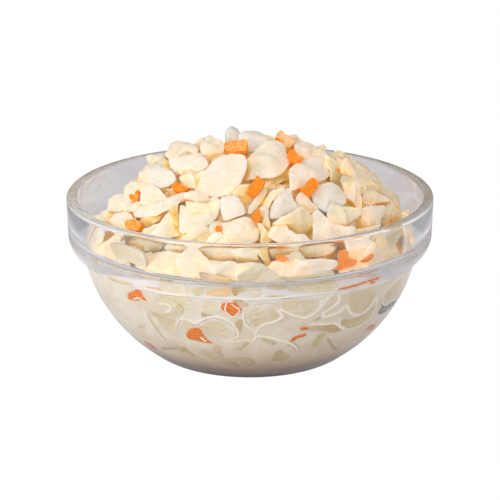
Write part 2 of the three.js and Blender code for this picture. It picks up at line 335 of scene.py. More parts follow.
def glass_material():
    material, start, shader = new_material("clear_glass")
    feed(start, shader, Base_Color=GLASS_TINT, Roughness=0.0, IOR=GLASS_INDEX, Transmission_Weight=1.0)
    path = start.node("ShaderNodeLightPath")
    inner = path.output("Glossy Depth").math("GREATER_THAN", 2.5)
    deep = path.output("Transmission Depth").math("GREATER_THAN", 8.5)
    plain = path.output("Is Shadow Ray").math("MAXIMUM", path.output("Is Diffuse Ray"))
    plain = plain.math("MAXIMUM", inner.math("MAXIMUM", deep))
    through = start.node("ShaderNodeBsdfTransparent", {"Color": SHADOW_TINT})
    show(start.node("ShaderNodeMixShader", {0: plain, 1: Wire(start.tree, shader.outputs[0]), 2: through}))
    return material


give_finish(bowl, glass_material())
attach(bowl, "root")
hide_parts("bowl")
print("glass with an index of", GLASS_INDEX)


# %% [markdown]
# The heap is the shape that the food settles in: a round mound, steep at the glass. Everything loose
# is laid on it from the bottom layer up. A map keeps how far out the pile reaches in each direction
# from a point inside it, so each new piece comes to rest on those already there.

# %% The form of the heap
HEAP_X, HEAP_RADIUS, HEAP_FOOT, HEAP_RISE = 1.5, 52.0, 37.0, 32.4
HEAP_ROUND, HEAP_FALL = 2.2, 0.68
SLOPE_STEP = 0.5
EAST = np.array([1.0, 0, 0])


def heap_height(x, y):
    share = np.minimum(1, np.hypot(x - HEAP_X, y) / HEAP_RADIUS)
    return HEAP_FOOT + HEAP_RISE * (1 - share**HEAP_ROUND) ** HEAP_FALL


def facing(out):
    """East, north and outwards on a plane that faces a given way."""
    out = out / np.linalg.norm(out)
    east = EAST - out * out[0]
    east /= np.linalg.norm(east)
    return np.stack([east, np.cross(out, east), out], axis=1)


def heap_frame(x, y):
    """The point of the heap over (x, y), with the directions east, north and outwards there."""
    step = SLOPE_STEP
    slope_x = (heap_height(x + step, y) - heap_height(x - step, y)) / (2 * step)
    slope_y = (heap_height(x, y + step) - heap_height(x, y - step)) / (2 * step)
    return np.array([x, y, float(heap_height(x, y))]), facing(np.array([-slope_x, -slope_y, 1.0]))


def facing_from_axis(bearing, lean):
    """Round, up and outwards on a plane that faces away from the bowl's axis, leaning back."""
    around = np.array([-math.sin(bearing), math.cos(bearing), 0])
    level = math.cos(lean)
    out = np.array([level * math.cos(bearing), level * math.sin(bearing), math.sin(lean)])
    return np.stack([around, np.cross(out, around), out], axis=1)


def turn_matrix(heading, pitch=0, roll=0):
    matrix = Matrix.Identity(3)
    for degrees, axis in ((heading, "Z"), (-pitch, "Y"), (roll, "X")):
        matrix = matrix @ Matrix.Rotation(math.radians(degrees), 3, axis)
    return np.array(matrix)


# %% The map of how far out the pile reaches
class Pile:
    CENTRE = np.array([HEAP_X, 0.0, 12.0])
    CELL, HALF, SPREAD = 0.6, 170, 54.0
    LAST = 2 * HALF - 1
    FIRST_REACH, GROWTHS = 20.0, 40
    WAYS, DISTANCES, STEEPEST = 12, (0.9, 1.6, 2.6, 4.0), 2.2

    def __init__(self, depth):
        axis = (np.arange(2 * self.HALF) - self.HALF + 0.5) * self.CELL
        a, b = np.meshgrid(axis, axis, indexing="ij")
        angle = np.hypot(a, b) / self.SPREAD
        around = np.arctan2(b, a)
        out = np.sin(angle)
        way = np.stack([out * np.cos(around), out * np.sin(around), np.cos(angle)], -1)
        reach = np.full(a.shape, self.FIRST_REACH)
        for _ in range(self.GROWTHS):
            inside = self.clearance(self.CENTRE + way * reach[..., None]) > depth
            reach = np.where(inside, reach + 1.0, reach)
        self.reach = reach

    @staticmethod
    def clearance(point):
        """Roughly how far a point lies inside the heap's form."""
        x, y, z = point[..., 0], point[..., 1], point[..., 2]
        side = HEAP_RADIUS - np.hypot(x - HEAP_X, y)
        top = (heap_height(x, y) - z) * 0.75
        return np.where(z < HEAP_FOOT, side, np.minimum(side + 0.5, top))

    def cells(self, points):
        gap = points - self.CENTRE
        dist = np.linalg.norm(gap, axis=-1)
        angle = np.arccos(np.clip(gap[..., 2] / dist, -1, 1)) * self.SPREAD
        around = np.arctan2(gap[..., 1], gap[..., 0])
        places = [angle * turn(around) / self.CELL + self.HALF for turn in (np.cos, np.sin)]
        i, j = (np.clip(place.astype(int), 0, self.LAST) for place in places)
        return i, j, dist

    def sunk(self, points):
        i, j, dist = self.cells(points)
        return self.reach[i, j] - dist

    def add(self, points):
        i, j, dist = self.cells(points)
        np.maximum.at(self.reach, (i, j), dist)

    def smooth_skin(self):
        """The skin that touches the tops of the pieces, as if cling film lay over the pile."""
        disc = [(a, b) for a in range(-4, 5) for b in range(-4, 5) if a * a + b * b <= 18]
        cross = [(0, 0), (3, 0), (-3, 0), (0, 3), (0, -3)]
        skin = np.max([np.roll(self.reach, o, (0, 1)) for o in disc], axis=0)
        for _ in range(3):
            skin = np.mean([np.roll(skin, o, (0, 1)) for o in cross], axis=0)
        self.skin = skin

    def depth(self, points):
        """How shut in each point is, which steers the painted shade: 0 on open ground, and 1 deep in a gap,
        from how high the pile stands around each point.
        """
        i, j, dist = self.cells(points)
        shade = np.zeros(len(points))
        for way in range(self.WAYS):
            turn = way * math.tau / self.WAYS
            steep = np.zeros(len(points))
            for far in self.DISTANCES:
                a = np.clip(i + round(math.cos(turn) * far / self.CELL), 0, self.LAST)
                b = np.clip(j + round(math.sin(turn) * far / self.CELL), 0, self.LAST)
                steep = np.maximum(steep, (self.reach[a, b] - dist - 0.25) / far)
            shade += np.clip(steep, 0, self.STEEPEST) / self.STEEPEST / self.WAYS
        below = np.clip((self.skin[i, j] - dist - 1.2) / 5, 0, 1)
        return np.clip(1.15 * shade + 0.45 * below, 0, 1)


# %% [markdown]
# Every piece of the salad is a small closed shell, and there are hundreds, so they are written
# straight into arrays and joined into one mesh for each kind. A shell starts as a cut outline. Its
# corners are rounded a little, and rings of points run from its middle to its rim on both faces.

# %% A cut outline with its corners rounded
def soft_outline(corners, count, cuts):
    """The corners are cut off by each share in turn, then points are spaced evenly round the rim."""
    rim = np.array(corners, float)
    for cut in cuts:
        after = np.roll(rim, -1, axis=0)
        rim = np.stack([rim * (1 - cut) + after * cut, rim * cut + after * (1 - cut)], 1).reshape(-1, 2)
    closed = np.vstack([rim, rim[:1]])
    run = np.concatenate([[0], np.cumsum(np.linalg.norm(np.diff(closed, axis=0), axis=1))])
    at = np.linspace(0, run[-1], count, endpoint=False)
    return np.column_stack([np.interp(at, run, closed[:, i]) for i in (0, 1)])


def side_areas(x, y):
    """Twice the area between the origin and each side of an outline."""
    return x * np.roll(y, -1) - np.roll(x, -1) * y


def middle_of(corners):
    """The centre of area of an outline."""
    ways = np.array(corners, float).T
    areas = side_areas(*ways)
    return np.array([((way + np.roll(way, -1)) * areas).sum() for way in ways]) / (3 * areas.sum())


def ordered(outline):
    """The same outline, running against the clock."""
    return outline if side_areas(*outline.T).sum() > 0 else outline[::-1]


# %% The faces of a shell
@functools.lru_cache(maxsize=None)
def shell_faces(rings, sectors):
    faces = []
    under = 1 + rings * sectors
    for s in range(sectors):
        t = (s + 1) % sectors
        faces.append((0, 1 + s, 1 + t))
        faces.append((under, under + 1 + t, under + 1 + s))
        for r in range(rings - 1):
            a, b = 1 + r * sectors + s, 1 + r * sectors + t
            faces.append((a, a + sectors, b + sectors, b))
            faces.append((a + under, b + under, b + under + sectors, a + under + sectors))
        a, b = 1 + (rings - 1) * sectors + s, 1 + (rings - 1) * sectors + t
        faces.append((a, a + under, b + under, b))
    return faces


FINE_RINGS = (0.18, 0.36, 0.53, 0.69, 0.84, 0.96, 1.0)
LEAF_RINGS = (0.35, 0.68, 0.94, 1.0)
PLAIN_RINGS = (0.5, 0.9, 1.0)
BAR_RINGS = (0.55, 0.95, 1.0)


# %% A shell from its outline
AT_RIM = 0.99  # points beyond this share of the way from the middle make the rim
RIB_WIDTH, RIB_SLANT, FAN_ROOT = 0.16, 0.15, 1.6  # in half-widths of the leaf
SWELL_ACROSS, SWELL_ALONG = 0.75, 0.62  # radians to the millimetre


def spread_rings(outline, rings):
    """Points from the middle to the rim, and how far out each lies."""
    flat = np.vstack([[[0.0, 0.0]], *[outline * r for r in rings]])
    return flat, np.concatenate([[0.0], np.repeat(rings, len(outline))])


def both_faces(top, bottom, rho, grain):
    return np.vstack([top, bottom]), np.concatenate([rho, rho]), np.vstack([grain, grain])


def leaf_shell(outline, rings, leaf):
    """A thin piece of leaf: cupped, curled along one way, frilled at the rim, with a soft rib."""
    flat, rho = spread_rings(outline, rings)
    half = np.abs(outline).max()
    c, s = math.cos(leaf["vein"]), math.sin(leaf["vein"])
    u, v = (flat @ np.array([[c, -s], [s, c]])).T / half
    phase = leaf["phase"]
    lift = leaf["cup"] * (0.45 - rho**2) + leaf["curl"] * (u * u - 0.3) + leaf["twist"] * u * v
    lift += leaf["frill"] * rho**3 * np.sin(leaf["waves"] * np.arctan2(v, u) + phase)
    lift += leaf["ridge"] * np.exp(-((v - RIB_SLANT * u) / RIB_WIDTH) ** 2) * (1 - 0.4 * rho)
    fan = np.arctan2(v, u + FAN_ROOT)
    lift += leaf["folds"] * np.sin(leaf["fold_count"] * fan + phase) * (0.35 + 0.65 * rho)
    c, s = math.cos(leaf["bend"]), math.sin(leaf["bend"])
    lift -= leaf["crease"] * np.abs(u * c + v * s - leaf["aside"]) - leaf["crease"] * 0.4
    x, y = flat.T
    lift += leaf["swell"] * np.sin(x * SWELL_ACROSS + phase) * np.cos(y * SWELL_ALONG - phase * 1.7)
    at_rim = rho > AT_RIM
    thick = leaf["thick"] / 2 * (1 - 0.3 * rho**2) * np.where(at_rim, 0.5, 1)
    low = flat * np.where(at_rim, 0.99, 1.0)[:, None]
    grain = np.column_stack([u * half, v * half, lift])
    top, bottom = np.column_stack([flat, lift + thick]), np.column_stack([low, lift - thick])
    return both_faces(top, bottom, rho, grain)


def lump_shell(outline, rings, piece):
    """A thick piece of rib: a rounded top that falls away to its rim."""
    flat, rho = spread_rings(outline, rings)
    phase = piece["phase"]
    rise = piece["thick"] / 2 * (1 - 0.7 * rho**3.2)
    wave = 0.35 * np.sin(flat @ (0.55, 0.4) + phase) * np.cos(flat @ (-0.35, 0.6) - phase)
    top, bottom = np.column_stack([flat, rise + wave]), np.column_stack([flat * 0.97, -rise + wave * 0.5])
    return both_faces(top, bottom, rho, np.column_stack([flat, rise]))


def bar_shell(outline, rings, piece):
    """A dice of carrot: two flat faces and crisp sides."""
    flat, rho = spread_rings(outline, rings)
    rise = piece["thick"] / 2 - np.where(rho > AT_RIM, 0.22, 0)
    wave = 0.1 * np.sin(flat @ (1.5, 1.1) + piece["phase"])
    top, bottom = np.column_stack([flat, rise + wave]), np.column_stack([flat, wave - rise])
    points, rho, _ = both_faces(top, bottom, rho, flat)
    return points, rho, points + piece["phase"]


SHELLS = {  # the function, its rings, points round the rim, and how its corners are cut
    "leaf": (leaf_shell, LEAF_RINGS, 24, (0.06, 0.25)),
    "rib": (lump_shell, LEAF_RINGS, 24, (0.12, 0.25)),
    "carrot": (bar_shell, BAR_RINGS, 28, (0.04,)),
}


# %% Shapes and looks of a piece that its row leaves open
CUT_PLAY = 0.14  # how far a corner strays, in half-sizes
EDGE_POWER = 6  # the painted highlight of a cut edge fades this fast inwards


def leaf_shape(rng, bend=1.0):
    return {
        "cup": rng.uniform(-1.2, 2.2) * bend,
        "curl": rng.uniform(-1.6, 1.2) * bend,
        "twist": rng.uniform(-1.0, 1.0) * bend,
        "frill": rng.uniform(0, 0.6),
        "vein": rng.uniform(0, math.tau),
        "waves": int(rng.integers(2, 5)),
        "phase": rng.uniform(0, 6),
        "ridge": rng.choice([0, 0.5, 0.9]),
        "thick": rng.uniform(0.8, 1.2),
        "folds": rng.uniform(0.05, 0.2),
        "fold_count": int(rng.integers(5, 12)),
        "swell": rng.uniform(0.2, 0.7) * bend,
        "crease": rng.choice([0, 0.5, 1.1]) * bend,
        "bend": rng.uniform(0, math.tau),
        "aside": rng.uniform(-0.3, 0.3),
    }


def some_green(rng):
    """Most leaves are pale, and a few are green."""
    return rng.beta(1.2, 3.0)


CUTS = [
    [(1, 0.75), (-0.1, 1.05), (-1, 0.8), (-1, -0.8), (0.2, -1), (1, -0.7)],
    [(1, 0.85), (-0.95, 0.95), (-1, -0.85), (0.9, -0.95)],
    [(1.05, 0.1), (0.1, 1.05), (-1, 0.7), (-0.95, -0.8), (0.5, -1)],
    [(1, 0.9), (-0.6, 1), (-1.05, 0), (-0.6, -1), (0.8, -0.75)],
    [(1.1, -0.2), (0.4, 0.9), (-0.9, 0.95), (-1, -0.3), (-0.4, -1)],
]


def random_cut(long, wide, rng):
    corners = np.array(CUTS[rng.integers(len(CUTS))]) * rng.choice([-1, 1], 2)
    return (corners + rng.uniform(-CUT_PLAY, CUT_PLAY, corners.shape)) * (long / 2, wide / 2)


# %% Collect pieces of one kind, then write them as one mesh
class Kind:
    def __init__(self, name):
        self.name, self.points, self.faces, self.look, self.grain = name, [], [], [], []
        self.count, self.size = 0, 0

    def add(self, points, faces, edge, green, gold_shade, grain, rng):
        self.faces += [tuple(self.size + i for i in face) for face in faces]
        one = np.ones(len(points))
        self.look.append(np.column_stack([one * green, one * gold_shade, edge, one * rng.random()]))
        self.points.append(points)
        self.grain.append(grain)
        self.size += len(points)
        self.count += 1

    def build(self, depth_of, share):
        for points, look in zip(self.points, self.look):
            look[:, 1] = np.clip(look[:, 1] + share * depth_of(points), 0, 1)
        mesh = bpy.data.meshes.new(self.name)
        mesh.from_pydata((np.vstack(self.points) * MM).tolist(), [], self.faces)
        for name, sort, key, rows in (("look", "FLOAT_COLOR", "color", self.look),
                                      ("grain", "FLOAT_VECTOR", "vector", self.grain)):
            layer = mesh.attributes.new(name, sort, "POINT")
            layer.data.foreach_set(key, np.vstack(rows).astype(np.float32).ravel())
        piece = bpy.data.objects.new(self.name, mesh)
        bpy.context.scene.collection.objects.link(piece)
        smooth_by_angle(piece, 42)
        triangles = sum(len(p.vertices) - 2 for p in mesh.polygons)
        print(self.name, self.count, "pieces", triangles, "triangles")
        return piece


# %% Keep a piece inside the glass
LIP_INSIDE = (RIM_RADIUS - BAND_WALL, BOWL_HEIGHT - LIP_ROUND)
INSIDE_R, INSIDE_Z = np.array(inside_section()[::-1] + [LIP_INSIDE]).T
CORNER_TOP, CORNER_GAP, CORNER_FADE = 41.7, 0.7, 0.2
ON_GLASS = 0.05  # how far a piece that lies on the glass reaches into it


def inner_radius(z):
    """The inside of the glass at a height, in millimetres."""
    return np.interp(z, INSIDE_Z[1:], INSIDE_R[1:])


def on_inner_wall(bearing, z, inset):
    """Points on the inside of the glass, or that far in from it."""
    r = inner_radius(z) - inset
    return np.column_stack([r * np.sin(bearing), -r * np.cos(bearing), z])


def keep_inside(points, proud=ON_GLASS, corner_gap=CORNER_GAP):
    """Pushes what lies in the glass back, and keeps it off the rounded corner over the ledge."""
    r = np.hypot(points[:, 0], points[:, 1])
    points[:, 2] = np.maximum(points[:, 2], FLOOR_Z + 0.2)
    z = points[:, 2]
    limit = inner_radius(z) + proud - corner_gap * np.clip((CORNER_TOP - z) / CORNER_FADE, 0, 1)
    over = (r > limit) & (z < BOWL_HEIGHT + 1)
    points[over, :2] *= (limit[over] / r[over])[:, None]
    return points


# %% [markdown]
# The lens looks down on the bowl a little from the front. A point of its view is given across and
# down, and the view is 500 points wide and high. The pile keeps the uneven top that it was heaped to,
# so the highest points of that top are listed across the view, and no scattered piece stands over it.

# %% The lens, and the top of the pile as it sees it
EYE, AIM = np.array([0.0, -432.6, 177.5]), np.array([0.0, 0.0, 32.2])
LENS, SENSOR, VIEW = 98.35, 36.0, 500
VIEW_SCALE = LENS / SENSOR * VIEW
FORWARD = (AIM - EYE) / np.linalg.norm(AIM - EYE)
UPWARD = np.cross(EAST, FORWARD)
SKYLINE_MARGIN = 0.8
SKYLINE = np.array([
    (98, 216), (107, 208), (108.5, 201), (115, 195), (124.5, 193), (125.5, 184), (132, 180), (139, 172),
    (146, 161), (148, 157), (153, 155), (166, 154.5), (170.5, 144), (175, 142.5), (183, 142.5),
    (193, 145), (201.5, 139.5), (210, 136), (216, 139), (224, 143.5), (227, 131), (237, 130),
    (240, 133), (255, 133), (262.6, 134), (266, 137.5), (275, 138), (281, 136), (292, 136.5),
    (300, 137.5), (302, 141), (309, 142), (317, 147), (324, 147), (328, 153.5), (337, 153),
    (348, 156.5), (359, 163.5), (370, 170), (377, 177), (386, 188), (396, 197), (399, 204),
    (403, 211), (410, 214)])
POINTS_PER_MM = 3.1  # how many points of the view one millimetre of height covers


def view_ray(u, v):
    """The way from the lens through a point of the view."""
    across, up = u - VIEW / 2, VIEW / 2 - v
    way = FORWARD + EAST * across / VIEW_SCALE + UPWARD * up / VIEW_SCALE
    return way / np.linalg.norm(way)


def under_skyline(points):
    """Lowers a piece until it stands under the top of the pile."""
    gap = points - EYE
    far = gap @ FORWARD
    u = VIEW / 2 + gap[:, 0] / far * VIEW_SCALE
    v = VIEW / 2 - gap @ UPWARD / far * VIEW_SCALE
    over = np.interp(u, *SKYLINE.T) + SKYLINE_MARGIN - v
    return points - (0, 0, max(over.max() / POINTS_PER_MM, 0))


# %% Lay a piece on the pile
SHARES = (0, 0.34, 0.67)  # where extra points are taken between two points of a shell


def rest(pile, kind, shell, at, basis, slide, give, low, high, green, gold_shade, rng, scattered=False):
    """Slides a shell along one way until it rests on the pile, and joins it to its kind."""
    points, rho, grain = shell
    half = len(points) // 2
    start = at + points @ basis.T
    lift = np.clip(np.quantile(pile.sunk(start[half:]), give), low, high)
    placed = start + slide * lift
    placed = keep_inside(under_skyline(placed) if scattered else placed)
    sectors = int((rho[:half] > AT_RIM).sum())
    rings = (half - 1) // sectors
    kind.add(placed, shell_faces(rings, sectors), rho**EDGE_POWER, green, gold_shade, grain, rng)
    rows = [np.repeat(placed[:1], sectors, 0), *placed[1:half].reshape(rings, sectors, 3)]
    dense = [(a * (1 - t) + b * t) for a, b in zip(rows, rows[1:]) for t in SHARES] + [rows[-1]]
    pile.add(np.vstack([row * (1 - t) + np.roll(row, -1, 0) * t for row in dense for t in SHARES]))


def make_shell(sort, corners, shape, rng, rings=None, count=None, rough=0.12):
    build, own_rings, own_count, cuts = SHELLS[sort]
    outline = ordered(soft_outline(corners, count or own_count, cuts))
    nicks = rng.normal(0, rough, outline.shape) if sort != "carrot" else 0
    return build(outline + nicks, rings or own_rings, shape)


# %% Fill the pile from the bottom layer up
GOLDEN_ANGLE = 137.508
SPIRAL_POWER = 0.47
TOWARDS_VIEW = np.array([0, -0.948, 0.319])
SCATTER_SIZE = {"leaf": (13, 9.5, 0), "rib": (9, 7, 4), "carrot": (6.2, 4, 3.3)}  # long, wide, thick
SCATTER_COARSE = {"rings": PLAIN_RINGS, "count": 14}


def spiral(count, reach, rng, wobble):
    """Places spread evenly over the heap by the golden angle."""
    for i in range(count):
        r = reach * ((i + 0.5) / count) ** SPIRAL_POWER
        bearing = i * math.radians(GOLDEN_ANGLE)
        yield (HEAP_X + r * math.cos(bearing) + rng.uniform(-wobble, wobble),
               r * math.sin(bearing) + rng.uniform(-wobble, wobble))


def scatter(kinds, pile, place, sort, size, bend, give, low, high, rng, fine=True, gold_shade=0.0):
    at, basis = heap_frame(*place)
    turned = basis @ turn_matrix(rng.uniform(0, 360), rng.uniform(-bend, bend), rng.uniform(-bend, bend))
    long, wide, thick = SCATTER_SIZE[sort]
    shape = leaf_shape(rng)
    if thick:
        shape["thick"] = thick * size
    corners = random_cut(long * size, wide * size, rng)
    shell = make_shell(sort, corners, shape, rng, **({} if fine else SCATTER_COARSE))
    green = rng.uniform(0, 0.3) if sort == "carrot" else some_green(rng)
    rest(pile, kinds[sort], shell, at, turned, basis[:, 2], give, low, high, green, gold_shade, rng, True)


def sort_of(draw):
    return "leaf" if draw < 0.76 else "rib" if draw < 0.88 else "carrot"


def towards_view(place):
    """How far the heap faces the lens at a place, from -1 to 1."""
    return heap_frame(*place)[1][:, 2] @ TOWARDS_VIEW


leaves, hearts = Kind("cabbage_leaves"), Kind("cabbage_under_leaves")
ribs, carrots = Kind("cabbage_ribs"), Kind("carrot_dice")
kinds = {"leaf": leaves, "rib": ribs, "carrot": carrots}
rng = np.random.default_rng(12)
pile = Pile(depth=5.0)
for place in spiral(180, HEAP_RADIUS - 2, rng, 2.0):
    scatter({"leaf": hearts}, pile, place, "leaf", rng.uniform(0.7, 1.25), 23, 0.75, -5, -3, rng, False)
for place in spiral(120, HEAP_RADIUS - 1, rng, 2.5):
    sort = sort_of(rng.random())
    # Pieces of this layer that face the lens lie lower and carry a painted golden shade.
    if towards_view(place) > 0.12:
        sort = "rib" if sort == "rib" else "leaf"
        scatter(kinds, pile, place, sort, rng.uniform(0.6, 1.2), 17, 0.8, -3.5, -1.4, rng, gold_shade=0.42)
    else:
        scatter(kinds, pile, place, sort, rng.uniform(0.7, 1.3), 17, 0.8, -3.0, -0.8, rng)
for place in spiral(120, HEAP_RADIUS - 1, rng, 2.5):
    if towards_view(place) < -0.1:
        scatter(kinds, pile, place, sort_of(rng.random()), rng.uniform(0.8, 1.3), 14, 0.88, -2.2, 0.2, rng)
print("scattered:", hearts.count, "under leaves,", leaves.count, "leaves,", ribs.count, "ribs")


# %% Leaves that lean on the glass just over the ledge
LEAN_RINGS = ((41.5, 24), (43.5, 22))  # height in mm, and how many leaves


def bearing_in_ring(i, count, row, rng):
    """A bearing in one of several rings, each half a place further round than the last."""
    return (i + 0.5 * (row % 2) + rng.uniform(-0.3, 0.3)) / count * math.tau


for row, (z, count) in enumerate(LEAN_RINGS):
    for i in range(count):
        bearing = bearing_in_ring(i, count, row, rng)
        shell, rho, grain = make_shell("leaf", random_cut(12, 8.5, rng), leaf_shape(rng, 0.6), rng)
        lean = math.radians(rng.uniform(5, 50))
        basis = facing_from_axis(bearing, lean) @ turn_matrix(rng.uniform(0, 360))
        reach = inner_radius(z) - 1.2 - 1.2 * row
        middle = np.array([reach * math.cos(bearing), reach * math.sin(bearing), z + rng.uniform(-1, 1)])
        placed = keep_inside(under_skyline(middle + shell @ basis.T))
        faces = shell_faces(len(LEAF_RINGS), 24)
        leaves.add(placed, faces, rho**EDGE_POWER, some_green(rng), rng.uniform(0, 0.3), grain, rng)
        pile.add(placed)
print("leaning on the glass:", sum(count for _, count in LEAN_RINGS), "leaves")


# %% [markdown]
# The pieces on the side that is seen first are laid out one by one, looking through the lens. Each
# has a cut outline on the view, which is 500 points wide and high. A ray through the outline's middle
# meets the heap, the piece's own plane stands there, leaning from the heap's slope towards the lens,
# and the rays through the corners cut the outline on that plane.

# %% From the view to the heap
LEAN = 0.6  # how far a laid piece turns from the slope of the heap towards the lens
RAY_NEAR, RAY_FAR, HEAP_EDGE = 360, 540, 2.5  # in mm
OFF_HEAP, IN_HEAP = 99.0, -1.0


def on_heap(u, v, level):
    """Where a ray meets the heap, or passes it most closely, and a step of that height back."""
    way = view_ray(u, v)
    point = EYE + np.linspace(RAY_NEAR, RAY_FAR, 1801)[:, None] * way
    x, y, z = point.T
    off = np.hypot(x - HEAP_X, y)
    gap = np.where(off < HEAP_RADIUS, z - heap_height(x, y), OFF_HEAP)
    gap = np.where((off < HEAP_RADIUS + 1) & (z < HEAP_FOOT + 1), IN_HEAP, gap)
    first = np.argmax(gap < 0) if (gap < 0).any() else np.argmin(gap)
    return point[first] - way * level, way


def leaning_frame(at, turn, tip):
    """East, north and outwards on a plane that leans from the slope towards the lens."""
    off = max(np.hypot(at[0] - HEAP_X, at[1]), 1e-6)
    share = min(1, (HEAP_RADIUS - HEAP_EDGE) / off)
    slope = heap_frame(HEAP_X + (at[0] - HEAP_X) * share, at[1] * share)[1][:, 2]
    return facing(slope + LEAN * TOWARDS_VIEW) @ turn_matrix(0, -turn, -tip)


def cut_on_plane(outline, at, basis):
    corners = []
    for u, v in outline:
        way = view_ray(u, v)
        far = ((at - EYE) @ basis[:, 2]) / (way @ basis[:, 2])
        corners.append((EYE + way * far - at) @ basis[:, :2])
    return np.array(corners)
